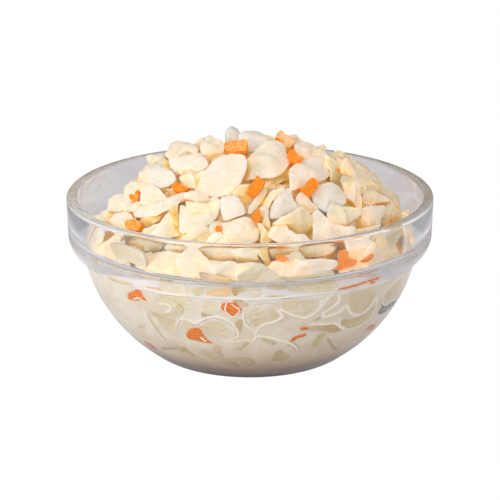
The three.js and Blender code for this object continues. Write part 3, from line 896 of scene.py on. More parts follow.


# %% The pieces that show, from the far and low ones to the near and high ones
# name: sort, level in mm, turn and tip in degrees, thick and cup in mm, green, painted golden shade,
# outline
FRONT = dict(
    back_left_fold=("leaf", 0, -15, 5, 1.6, 0.8, 0.1, 0.05, [(166, 156), (168, 150), (170, 143),
    (175, 141.5), (184, 141.5), (192, 144), (198, 148), (197, 154), (188, 160), (172, 161)]),
    back_left_shade=("leaf", -0.5, 10, 0, 1.4, 0.3, 0, 0.25, [(192, 145), (200, 138.5), (206, 137),
    (206, 148), (199, 152)]),
    crown_left=("leaf", 0.5, 0, 0, 1.8, 1.2, 0.05, 0, [(200, 147), (205, 138), (207, 134.5), (212, 135),
    (215, 139), (220, 140), (224.5, 144), (223, 152), (218, 157), (210, 160), (203, 157)]),
    crown_gap=("leaf", 0, 0, 0, 1.4, 0.3, 0, 0.1, [(262, 148), (264, 138), (267, 136.5), (276, 138),
    (276, 142), (268, 146)]),
    crown_bit=("leaf", 0, 0, 0, 1.4, 0.3, 0, 0.1, [(285, 137), (293, 135), (300, 136.5), (302.5, 141),
    (297, 145), (288, 142)]),
    crown_far_bit=("leaf", 0, 0, 0, 1.8, 0.3, 0, 0.1, [(317, 148), (322, 145), (325.5, 146), (326, 151.5),
    (320, 150)]),
    knob_right=("rib", 1, 0, 0, 4, 0, 0, 0, [(239, 134), (243, 131.5), (250, 131.5), (261, 132), (266, 137),
    (268, 142), (265, 147), (258, 151.5), (246, 153), (238, 150)]),
    knob_left=("rib", 1, 0, 0, 5, 0, 0, 0, [(226, 133), (228, 129), (232, 127.5), (237, 129), (239.5, 133),
    (241, 141), (238, 147), (226, 147), (225, 139)]),
    green_chip=("leaf", 1, -10, 0, 1.4, 0.5, 0.8, 0.1, [(147, 157), (152, 155), (158, 154.5), (164, 155.5),
    (166, 161), (163, 166), (150, 166.5), (147.5, 162)]),
    green_chip_shade=("leaf", 0.2, 0, 0, 1.2, 0.2, 0.9, 0.7, [(162, 166), (166, 160), (170, 163),
    (170.5, 169), (174, 172), (168, 170)]),
    left_facet=("leaf", 1, -10, 0, 1.5, 0.5, 0.1, 0.05, [(139, 172), (142, 168.5), (150, 166), (151, 174),
    (146, 182), (135, 181), (140, 176)]),
    yellow_facet=("leaf", 1, -15, 0, 1.5, 0.5, 0.35, 0, [(124.5, 195), (125, 187), (130, 181.5), (140, 184),
    (142, 191), (136, 193), (130, 197)]),
    left_edge=("leaf", 1, -10, 5, 1.6, 0.8, 0.1, 0.05, [(108, 208), (108, 200.5), (115, 195.5),
    (122, 193.8), (130, 196), (132, 203), (128, 210), (118, 212), (110, 211)]),
    far_left_edge=("leaf", 0.8, -10, 0, 1.6, 0.5, 0.1, 0.1, [(97, 219), (99, 214.5), (107, 211.5),
    (116, 212), (113, 217), (107, 223), (101, 222)]),
    right_tan=("leaf", 0.6, 15, 0, 1.5, 0.4, 0, 0.2, [(330, 153), (336, 150.5), (348, 154), (353, 158.5),
    (346, 161), (338, 158)]),
    right_rim=("leaf", 0.6, 25, 0, 1.5, 0.4, 0.2, 0.25, [(352, 158.5), (362, 163), (372, 170.5), (380, 178),
    (386, 187), (381, 187), (374, 178), (364, 172), (356, 166)]),
    right_edge=("leaf", 0.4, 25, 0, 1.5, 0.5, 0.3, 0.3, [(378, 185), (385, 186.5), (392, 190.5), (397, 197),
    (399, 203), (396, 206), (391, 201.5), (389, 196.5), (380, 193)]),
    right_bit=("leaf", 0.6, 20, 0, 1.4, 0.3, 0, 0.25, [(401, 213.5), (404, 209.5), (408.5, 209),
    (409.5, 213), (404, 219)]),
    right_bit_shade=("leaf", 0.4, 20, 0, 1.4, 0.3, 0, 0.6, [(391, 216), (397, 211.5), (402, 215),
    (400, 221), (392, 221)]),
    serrated_leaf=("leaf", 1.6, -5, 5, 1.5, 0.9, 0.1, 0, [(170, 161), (180, 158), (190, 155), (198, 152.5),
    (205, 157), (208.5, 166), (203, 170), (196, 172), (188, 171), (180, 173), (175, 172), (171, 167)]),
    pink_leaf_left=("leaf", 1.2, 15, -10, 1.6, 0.5, 0, 0.15, [(179, 177), (190, 174), (206, 170),
    (203, 181), (196, 189.5), (188, 188.5), (183, 184)]),
    left_lump=("rib", 2, -5, 0, 4, 0, 0, 0.05, [(149, 168), (158, 165.5), (165, 167.5), (174, 173),
    (177, 180), (171, 185), (160, 190.5), (152, 188), (148, 179)]),
    left_middle=("leaf", 1.8, -10, 0, 1.6, 0.8, 0.05, 0, [(141, 188), (152, 184), (160, 190), (165, 196),
    (168, 199), (160, 202.5), (150, 206), (141, 204)]),
    left_middle_back=("leaf", 0.9, -5, 0, 1.5, 0.5, 0.1, 0.1, [(134, 182), (146, 181), (150, 178),
    (154, 185), (150, 192), (141, 192)]),
    left_middle_front=("leaf", 1.2, -10, 0, 1.5, 0.5, 0.1, 0.1, [(122, 204), (132, 202), (141, 202),
    (146, 206), (134, 212), (124, 212)]),
    right_crown_leaf=("leaf", 1.2, 0, 5, 1.6, 1, 0.15, 0, [(294, 145), (302, 141), (310, 143), (318, 148),
    (327, 153), (316, 158), (304, 161), (297, 158)]),
    yellow_edge_leaf=("leaf", 1.6, 30, -5, 1.4, 0.3, 0.9, 0.45, [(327, 154), (333, 160), (339, 169),
    (344, 178), (345, 185), (337, 184.5), (331, 181), (329, 174), (328, 164)]),
    right_slope_leaf=("leaf", 1.4, 15, 0, 1.6, 0.6, 0.1, 0.1, [(343, 160), (350, 158.5), (358, 166),
    (366, 173), (374, 177.5), (378, 187), (374, 188.5), (364, 183), (355, 178.5), (347, 176), (341, 168)]),
    right_slope_back=("leaf", 0.9, 10, 0, 1.6, 0.6, 0.1, 0.15, [(336, 158), (344, 157), (346, 166),
    (344, 176), (340, 170)]),
    yellow_square=("leaf", 1.6, 5, 0, 1.6, 0.6, 0.35, 0.05, [(341, 184), (350, 183), (360, 184.5),
    (361.5, 196), (362, 207), (357, 208), (352, 202.5), (346, 198), (344, 190)]),
    yellow_square_back=("leaf", 0.7, 5, 0, 1.5, 0.4, 0.2, 0.4, [(340, 180), (352, 177), (364, 182),
    (366, 190), (358, 196), (346, 190)]),
    right_middle=("leaf", 1.4, 10, 0, 1.6, 0.6, 0.05, 0.15, [(363, 191), (370, 189.5), (378, 193),
    (389, 197), (389.5, 202), (375, 203.5), (366, 205), (362, 200)]),
    glossy_right=("leaf", 2, 10, 0, 1.8, 0.9, 0.05, 0.05, [(363, 208), (370, 206), (380, 205.5),
    (387.5, 207), (385, 213.5), (381, 219), (380, 227), (372, 226), (365, 222), (362, 215)]),
    right_tan_low=("leaf", 1.2, 15, 0, 1.5, 0.4, 0.05, 0.3, [(383, 213), (388, 204.5), (395, 203.5),
    (399, 207), (397, 213.5), (392, 218), (386, 223), (382, 222)]),
    right_low_strip=("leaf", 1.2, 5, 0, 1.5, 0.4, 0.1, 0.15, [(346, 229), (357, 230), (372, 226),
    (382, 224), (376, 230), (360, 234), (350, 236)]),
    bright_leaf=("leaf", 2.2, 8, 12, 1.7, 1, 0.05, 0, [(326, 152.5), (327.5, 165), (329, 175), (325, 179),
    (314, 182.5), (303, 187), (291, 191), (290, 180), (289, 170), (297, 163), (304, 160), (315, 157)]),
    rimmed_leaf=("leaf", 2, -8, 6, 1.6, 1.6, 0.3, 0, [(195, 190), (203, 174), (212, 162), (220, 156),
    (232, 154), (243, 155), (246.5, 160), (245, 170), (240, 182), (232, 191), (220, 196), (206, 195)]),
    veined_leaf=("leaf", 2.6, 3, 8, 1.7, 1.2, 0.1, 0, [(281, 140.5), (285, 145), (286, 152), (290, 160),
    (287, 167), (281, 173), (274, 178), (262, 177.5), (250, 178), (243, 177.5), (246, 162), (254, 152),
    (263, 145), (271, 141.5)]),
    long_left_leaf=("leaf", 2.4, -12, 8, 1.5, 1.2, 0.05, 0, [(131, 210), (143, 204), (158, 201.5),
    (170, 197.5), (180, 192.5), (187, 192), (184, 198), (176, 203.5), (168, 210), (158, 214.5),
    (143, 217.5), (134, 215.5)]),
    small_folded_leaf=("leaf", 3, 5, 10, 1.5, 1, 0.1, 0, [(184, 195), (190, 191.5), (200, 190.5),
    (206, 193.5), (209, 198.5), (208, 204.5), (202, 205.5), (192, 201.5), (186, 198.5)]),
    big_left_leaf=("leaf", 2.2, -5, 0, 1.5, 0.8, 0.2, 0.05, [(180, 204), (190, 208), (205, 206.5),
    (218.5, 203), (217.5, 214), (209, 223.5), (198, 229.5), (187, 233), (179.5, 232), (179, 216)]),
    big_left_back=("leaf", 1.2, 0, 0, 1.5, 0.8, 0.5, 0.2, [(185, 201), (196, 203), (208, 204), (220, 198),
    (220, 208), (205, 212), (190, 212)]),
    curled_leaf=("leaf", 1.8, 18, 0, 1.5, 1.4, 0.1, 0.05, [(149, 236), (155, 229), (162, 220), (168, 211.5),
    (172.5, 216), (174, 223), (177, 229), (172, 237), (166, 241), (155, 241)]),
    curled_leaf_gap=("leaf", 0.6, 0, 0, 1.2, 0.2, 0.5, 0.85, [(168, 210), (178.5, 204), (178.5, 216),
    (178, 227), (173, 222), (172, 216)]),
    under_long_leaf=("leaf", 1.4, 0, 0, 1.4, 0.4, 0.1, 0.5, [(140, 218), (152, 216), (162, 214.5),
    (160, 221), (152, 226), (143, 228)]),
    left_low_leaf=("leaf", 1.6, -10, 0, 1.6, 0.9, 0.1, 0.05, [(109, 222), (114, 214.5), (124, 211.5),
    (131, 214), (134, 219.5), (126, 222), (127, 230), (117, 229)]),
    left_low_chip=("leaf", 1.8, -10, 0, 1.5, 0.5, 0.05, 0.05, [(142, 231), (150, 226.5), (161, 223),
    (154, 231), (148, 237.5), (143, 237)]),
    thick_block=("rib", 2.8, -3, 5, 3, 0, 0.05, 0, [(221, 197.5), (229, 196), (236, 196), (240, 200),
    (247, 213.5), (238, 216.5), (225, 222), (221.5, 214)]),
    narrow_strip=("leaf", 2.6, 15, 0, 1.4, 0.2, 0, 0.05, [(262, 189), (267, 187.5), (267, 193), (260, 204),
    (252, 214), (247.5, 212.5), (250, 205.5), (256, 197)]),
    golden_leaf=("leaf", 1.2, -5, -8, 1.4, 0.3, 0.2, 0.5, [(232, 194), (240, 185.5), (250, 184), (248, 193),
    (254, 198), (247, 209), (240, 199.5)]),
    crescent_top=("leaf", 2.8, -15, 0, 1.6, 0.4, 0.6, 0.1, [(284, 187), (274, 190.5), (265, 198),
    (261, 207), (269, 209), (271, 203), (277, 196), (285, 191)]),
    crescent_low=("leaf", 2.8, -15, 0, 1.6, 0.4, 0.6, 0.15, [(261, 207), (260.5, 214), (262, 223),
    (267, 232), (272, 231), (270, 224), (268.5, 216), (269, 209)]),
    rough_rib=("rib", 2.2, 5, 5, 3, 0, 0, 0.1, [(277, 197), (284, 190.5), (291, 188), (292, 196),
    (297, 207), (301, 207), (291, 213), (279, 219), (269.5, 220), (270.5, 209)]),
    olive_shaded_leaf=("leaf", 2.5, 22, -18, 1.6, 1, 0.55, 0.35, [(302, 206), (309, 213), (314, 227),
    (313.5, 237.5), (308, 237.5), (303, 233.5), (296, 234.5), (290, 231.5), (287, 226), (281, 223),
    (273, 225.5), (281, 218), (291, 213)]),
    leaf_by_lump=("leaf", 1.6, 5, 0, 1.5, 0.5, 0.1, 0.05, [(297, 206), (296, 197), (301, 192), (306, 196),
    (312, 203), (324, 214), (312, 213), (303, 211)]),
    round_lump=("rib", 2.4, 3, 5, 4, 0, 0, 0.05, [(311, 197), (315, 190), (320, 185), (330, 182.5),
    (339, 187), (344, 196), (345.5, 205), (337, 206), (330, 204), (326, 214), (315, 206)]),
    yellow_green_leaf=("leaf", 2.8, 5, 0, 1.6, 0.9, 0.6, 0.1, [(331, 202), (337, 205), (348, 206.5),
    (356, 209), (361, 206), (362.5, 214), (352, 221), (345, 227.5), (334, 224), (329, 220), (326.5, 214)]),
    pink_white_leaf=("leaf", 2, 3, 5, 1.6, 0.8, 0.05, 0, [(313, 213), (318, 210), (324, 215.5), (330, 221),
    (338, 225.5), (345, 228), (352, 226), (357.5, 231), (350, 236), (335, 240), (320, 242), (313, 240),
    (314, 227), (311, 218)]),
    middle_low_leaf=("leaf", 1.8, 0, 0, 1.6, 1, 0.25, 0.05, [(222, 223), (230, 221), (246, 216), (255, 222),
    (261, 230), (258, 240), (248, 244), (232, 244), (224, 236)]),
    small_triangle=("leaf", 2.6, 0, 0, 1.5, 0.6, 0.05, 0, [(206, 241), (213, 233.5), (219, 231), (227, 238),
    (232, 244), (207, 244)]),
    tan_low_leaf=("leaf", 1.6, 0, 0, 1.5, 0.5, 0.2, 0.3, [(180, 239), (190, 232), (207, 225.5), (211, 234),
    (206, 243), (186, 242)]),
    ruffled_white=("leaf", 3, 0, 5, 1.6, 0.8, 0, 0, [(268, 236), (272, 228), (279, 223), (286, 224),
    (289, 230), (296, 235.5), (304, 234), (309, 239), (312, 242), (295, 244), (277, 243)]),
    ruffled_white_gap=("leaf", 1, 0, 0, 1.3, 0.3, 0.3, 0.45, [(256, 222), (262, 224), (268, 233),
    (273, 236), (270, 243), (260, 243), (261, 232)]),
    band_white_left=("leaf", 2.2, 0, 5, 1.6, 0.6, 0, 0, [(131, 244), (140, 242.5), (152, 243), (160, 245),
    (163.5, 248), (160, 251.5), (150, 252.5), (140, 250.5), (133, 247)]),
    band_pink_fold=("leaf", 1.4, -5, 0, 1.5, 0.8, 0.1, 0.05, [(124, 255), (128, 249), (132, 246),
    (141, 251), (144, 255), (147, 263), (148, 268), (139, 264), (129, 259)]),
    band_gold_left=("leaf", 1, 5, 0, 1.5, 0.6, 0.1, 0.2, [(143, 254), (152, 253), (160, 255), (162, 262),
    (155, 267), (148, 269.5), (145, 262)]),
    band_green_left=("leaf", 2.4, -5, 0, 1.7, 0.7, 0.6, 0.05, [(169, 253), (176, 255), (186, 258),
    (196, 263), (198, 272), (195, 279), (180, 277.5), (164, 274), (162, 266), (165, 260)]),
    band_thin_left=("leaf", 1.6, 0, 5, 1.5, 0.5, 0.1, 0.05, [(165, 247), (180, 246), (197, 249), (198, 253),
    (186, 257), (176, 254.5), (168, 252)]),
    band_white_middle=("leaf", 2.6, 0, 5, 1.6, 0.6, 0, 0, [(198, 248), (215, 246.5), (235, 249), (236, 258),
    (222, 261.5), (205, 260.5), (197, 256)]),
    band_big_middle=("leaf", 2, 0, 0, 1.8, 1, 0.1, 0, [(196, 261), (206, 259), (222, 261), (235, 261),
    (244, 268), (240, 275), (228, 278), (212, 274), (200, 270), (196, 266)]),
    band_green_middle=("leaf", 1.6, 0, 0, 1.6, 0.6, 0.3, 0.05, [(236, 249), (250, 248), (259, 251),
    (257, 257), (262, 263), (256, 268), (244, 268), (236, 259)]),
    band_folded_middle=("leaf", 1.4, 0, 0, 1.5, 0.5, 0, 0.2, [(242, 268), (256, 268), (265, 268),
    (270, 268), (262, 275), (252, 281), (240, 280)]),
    band_gap=("leaf", 0.5, 0, 0, 1.2, 0.2, 0.3, 0.8, [(258, 254), (261, 249), (268, 247.5), (267, 254),
    (271, 263), (279, 275), (276, 276.5), (268, 266), (261, 259)]),
    band_pale_right=("leaf", 1.6, 0, 5, 1.5, 0.5, 0.1, 0.05, [(290, 249), (305, 247.5), (322, 246.5),
    (334, 248), (330, 254), (318, 257), (300, 258), (290, 254)]),
    band_pale_middle=("leaf", 2, 0, 0, 1.5, 0.5, 0.35, 0.05, [(269, 250), (275, 247), (290, 246),
    (300, 250), (290, 255), (300, 258), (285, 259), (276, 260), (270, 256)]),
    band_long_right=("leaf", 2.6, 0, 5, 1.7, 1, 0.05, 0, [(270, 262), (279, 259), (300, 259.5),
    (322, 258.5), (334, 259.5), (334.5, 264), (330, 268), (320, 271.5), (305, 275.5), (290, 276),
    (278, 271)]),
    band_round_right=("leaf", 2.2, 5, 5, 1.7, 0.9, 0, 0.05, [(343, 243), (355, 239.5), (368, 239.5),
    (371, 248), (367, 257), (356, 259), (346, 258), (345, 250)]),
    band_dim_right=("leaf", 1.8, 10, 0, 1.6, 0.7, 0.05, 0.15, [(370, 240), (380, 232), (387, 240),
    (390, 250), (380, 254), (371, 255)]),
    band_low_right=("leaf", 1.6, 0, 0, 1.5, 0.5, 0.2, 0.1, [(310, 276), (322, 271), (331, 270), (334, 276),
    (322, 280), (308, 282)]),
    band_far_left=("leaf", 1, -10, 0, 1.5, 0.7, 0.1, 0.1, [(100, 238), (112, 236), (124, 240), (128, 246),
    (124, 254), (114, 252), (104, 246)]),
)


# %% Carrot dice that show, in the same order
# name: level in mm, turn in degrees, thick in mm, how pale, outline
CARROTS = dict(
    crown_bar=(2.6, 0, 3.6, 0.42, [(224.5, 144.5), (240, 142.5), (246, 141.8), (248, 144), (248, 151.5),
    (246, 154), (238, 154.5), (228, 154), (224.8, 151)]),
    pale_faced=(3.2, 5, 3, 0.85, [(275, 139.5), (276, 136), (279, 132.5), (281, 132.5), (284, 136),
    (296, 144), (287, 151.5), (283, 148.5), (284, 144), (281, 141.5)]),
    crown_small=(3.4, 0, 3, 0.12, [(288, 154.5), (289, 151.5), (294, 151), (298, 157), (303, 159),
    (301, 163), (296, 164.5), (290, 162), (287.5, 158)]),
    middle_diamond=(2.4, 5, 3, 0.03, [(257, 176), (265, 183.5), (260, 192), (254.5, 198), (247, 192.5),
    (251, 186)]),
    right_of_middle=(2.6, 5, 3, 0.04, [(311, 178.5), (314, 180), (319, 185), (314, 191), (309, 198),
    (305, 194), (299, 190), (305, 186.5), (307, 182)]),
    middle_low=(1.2, 0, 2.5, 0.01, [(251, 218.5), (256, 212), (260, 209), (260.5, 221), (257, 223)]),
    left_flat=(1.4, 0, 2.5, 0.04, [(172, 188), (175, 184), (178, 184), (183, 186), (189, 189.5), (184, 193),
    (175, 192.5)]),
    left_hook=(2.4, 0, 2.2, 0.15, [(136, 192.5), (139.5, 191), (140.5, 197), (138.5, 202), (134, 203.3),
    (131, 200), (135, 198.5)]),
    left_hook_end=(2.4, 0, 2, 0.07, [(130, 199), (130.5, 196), (133, 194.8), (135, 198), (132, 201)]),
    left_low=(4.4, -5, 3, 0.3, [(126, 223), (130, 220), (138, 220.5), (142, 223), (142.5, 228),
    (139, 231.8), (133, 230.5), (127.5, 229.5)]),
    left_sliver=(1.6, 0, 1.5, 0.03, [(185, 199.5), (188, 200), (192, 202.5), (190, 203.5), (186, 201.5)]),
    low_sliver=(0.8, 0, 1.5, 0.03, [(215, 229), (217, 226), (221, 226.5), (221.5, 231), (216, 231)]),
    tiny_right=(2.6, 0, 1.5, 0.03, [(335.5, 170), (338, 169.5), (340, 172), (337, 172.5)]),
    band_sliver_low=(2.8, 0, 2, 0.12, [(275, 256), (281, 254.5), (286, 257), (289, 260), (277, 260.3)]),
    band_sliver_top=(2.6, 0, 1.5, 0.12, [(274.5, 250.5), (275, 248.5), (287, 247.5), (286, 250)]),
    band_bent=(2.8, 0, 3, 0.06, [(337, 250.5), (344, 250), (345, 254), (344.5, 258), (353, 259), (352, 263),
    (341, 267.5), (330, 269), (333, 266), (335.5, 261), (338, 256)]),
    band_streak=(2.6, 0, 1.5, 0.03, [(323, 244.5), (330, 241.5), (341, 239.5), (340, 241.5), (331, 243.5)]),
)


# %% Cut and lay them
THICK_SHARE = {"leaf": 0.5, "rib": 0.65, "carrot": 0.75}
OVERLAP = {"leaf": 1.04, "rib": 1.02, "carrot": 1.0}  # the pieces lap over one another
LAID_FINE = {"rings": FINE_RINGS, "count": 36}
dice = [("carrot", level, turn, 0, thick, 0, tint, 0, outline)
        for level, turn, thick, tint, outline in CARROTS.values()]
rng = np.random.default_rng(31)
for sort, level, turn, tip, thick, cup, green, gold_shade, outline in [*FRONT.values(), *dice]:
    at, way = on_heap(*middle_of(outline), level)
    basis = leaning_frame(at, turn, tip)
    shape = dict(leaf_shape(rng, 0.5), thick=thick * THICK_SHARE[sort], cup=cup * 0.5)
    corners = cut_on_plane(outline, at, basis) * OVERLAP[sort]
    fine = {} if sort == "carrot" else LAID_FINE
    shell = make_shell(sort, corners, shape, rng, rough=0.07, **fine)
    rest(pile, kinds[sort], shell, at, basis, -way, 0.85, -1.5, 1.8, green, gold_shade, rng)
print("laid by hand:", len(FRONT), "pieces of cabbage and", len(CARROTS), "of carrot")


# %% [markdown]
# Against the glass the same pieces are pressed flat, and dressing fills what is left. A rule lays
# small leaves all round, a little tilted, and what would pass through the glass is pushed back onto
# it, so only the part that touches shows, as a patch or, for a piece on edge, a thin line.

# %% Small leaves pressed to the glass all round
WALL_ROWS, WALL_FOOT, WALL_ROW_HEIGHT = 7, 8, 3.9
ON_EDGE_SHARE = 0.35
DRAWN_REACH = 1.0  # bearing in radians up to which the patches are drawn one by one instead


def wall_frame(bearing, z):
    """A point on the inside of the body, and the directions round, up and outwards there."""
    slope = angle_at(BODY_Z, INNER_BODY, min(z, BODY_Z))
    r = BODY_R + INNER_BODY * math.cos(slope)
    return np.array([r * math.cos(bearing), r * math.sin(bearing), z]), facing_from_axis(bearing, slope)


pressed, pressed_carrot, air = Kind("pressed_cabbage"), Kind("pressed_carrot"), Kind("air_pocket")
rng = np.random.default_rng(5)
for row in range(WALL_ROWS):
    z = WALL_FOOT + row * WALL_ROW_HEIGHT
    count = int(13 + row * 1.6)
    for i in range(count):
        bearing = bearing_in_ring(i, count, row, rng)
        size = rng.uniform(0.7, 1.2)
        on_edge = rng.random() < ON_EDGE_SHARE
        roll = rng.uniform(40, 80) * rng.choice([-1, 1]) if on_edge else rng.uniform(-16, 16)
        corners = random_cut(14 * size, 9 * size, rng)
        shell, rho, grain = make_shell("leaf", corners, leaf_shape(rng, 0.8), rng, PLAIN_RINGS, 16)
        at, basis = wall_frame(bearing, z + rng.uniform(-1.6, 1.6))
        turned = shell @ (basis @ turn_matrix(rng.uniform(0, 360), rng.uniform(-12, 12), roll)).T
        inset = basis[:, 2] * rng.uniform(0.3, 1.6)
        placed = keep_inside(at + turned - inset, rng.uniform(0.08, 0.13), 0)
        green = some_green(rng)
        if abs(math.atan2(math.cos(bearing), -math.sin(bearing))) > DRAWN_REACH:
            pressed.add(placed, shell_faces(len(PLAIN_RINGS), 16), rho**EDGE_POWER, green, 0, grain, rng)
print("pressed to the glass:", pressed.count, "leaves")


# %% [markdown]
# The patches that stand out through the glass are drawn on the view as well. A ray bends where it
# enters the glass, so each corner is followed to the inside of the wall before the patch is cut.

# %% From the view to the inside of the wall
WALL_FAR = 480
BODY_OUTSIDE = [(r, z) for r, z in outside_section() if z > FOOT_ROUND - 0.01 and r > FOOT_RADIUS]
OUTSIDE_R, OUTSIDE_Z = np.array(BODY_OUTSIDE + [(RIM_RADIUS, BOWL_HEIGHT - LIP_ROUND)]).T


def outer_radius(z):
    """The outside of the glass at a height, in millimetres."""
    return np.interp(z, OUTSIDE_Z, OUTSIDE_R)


def first_inside(start, way, radius_at, near, far, steps):
    """The first point along a ray that lies within a turned surface."""
    point = start + np.linspace(near, far, steps)[:, None] * way
    return point[np.argmax(np.hypot(point[:, 0], point[:, 1]) < radius_at(point[:, 2]))]


def on_wall(u, v):
    """Bearing and height of the point of the inner wall that is seen through the outer one."""
    way = view_ray(u, v)
    first = first_inside(EYE, way, outer_radius, RAY_NEAR, WALL_FAR, 8001)
    x, y, z = first
    off = math.hypot(x, y)
    slope = (outer_radius(z + 0.05) - outer_radius(z - 0.05)) / 0.1
    out = np.array([x / off, y / off, -slope])
    out /= np.linalg.norm(out)
    slant = -way @ out
    inner_slant = math.sqrt(1 - (1 - slant**2) / GLASS_INDEX**2)
    bent = way / GLASS_INDEX + (slant / GLASS_INDEX - inner_slant) * out
    inside = first_inside(first, bent, inner_radius, 0.05, 20, 2001)
    return math.atan2(inside[0], -inside[1]), max(inside[2], CORNER_Z)
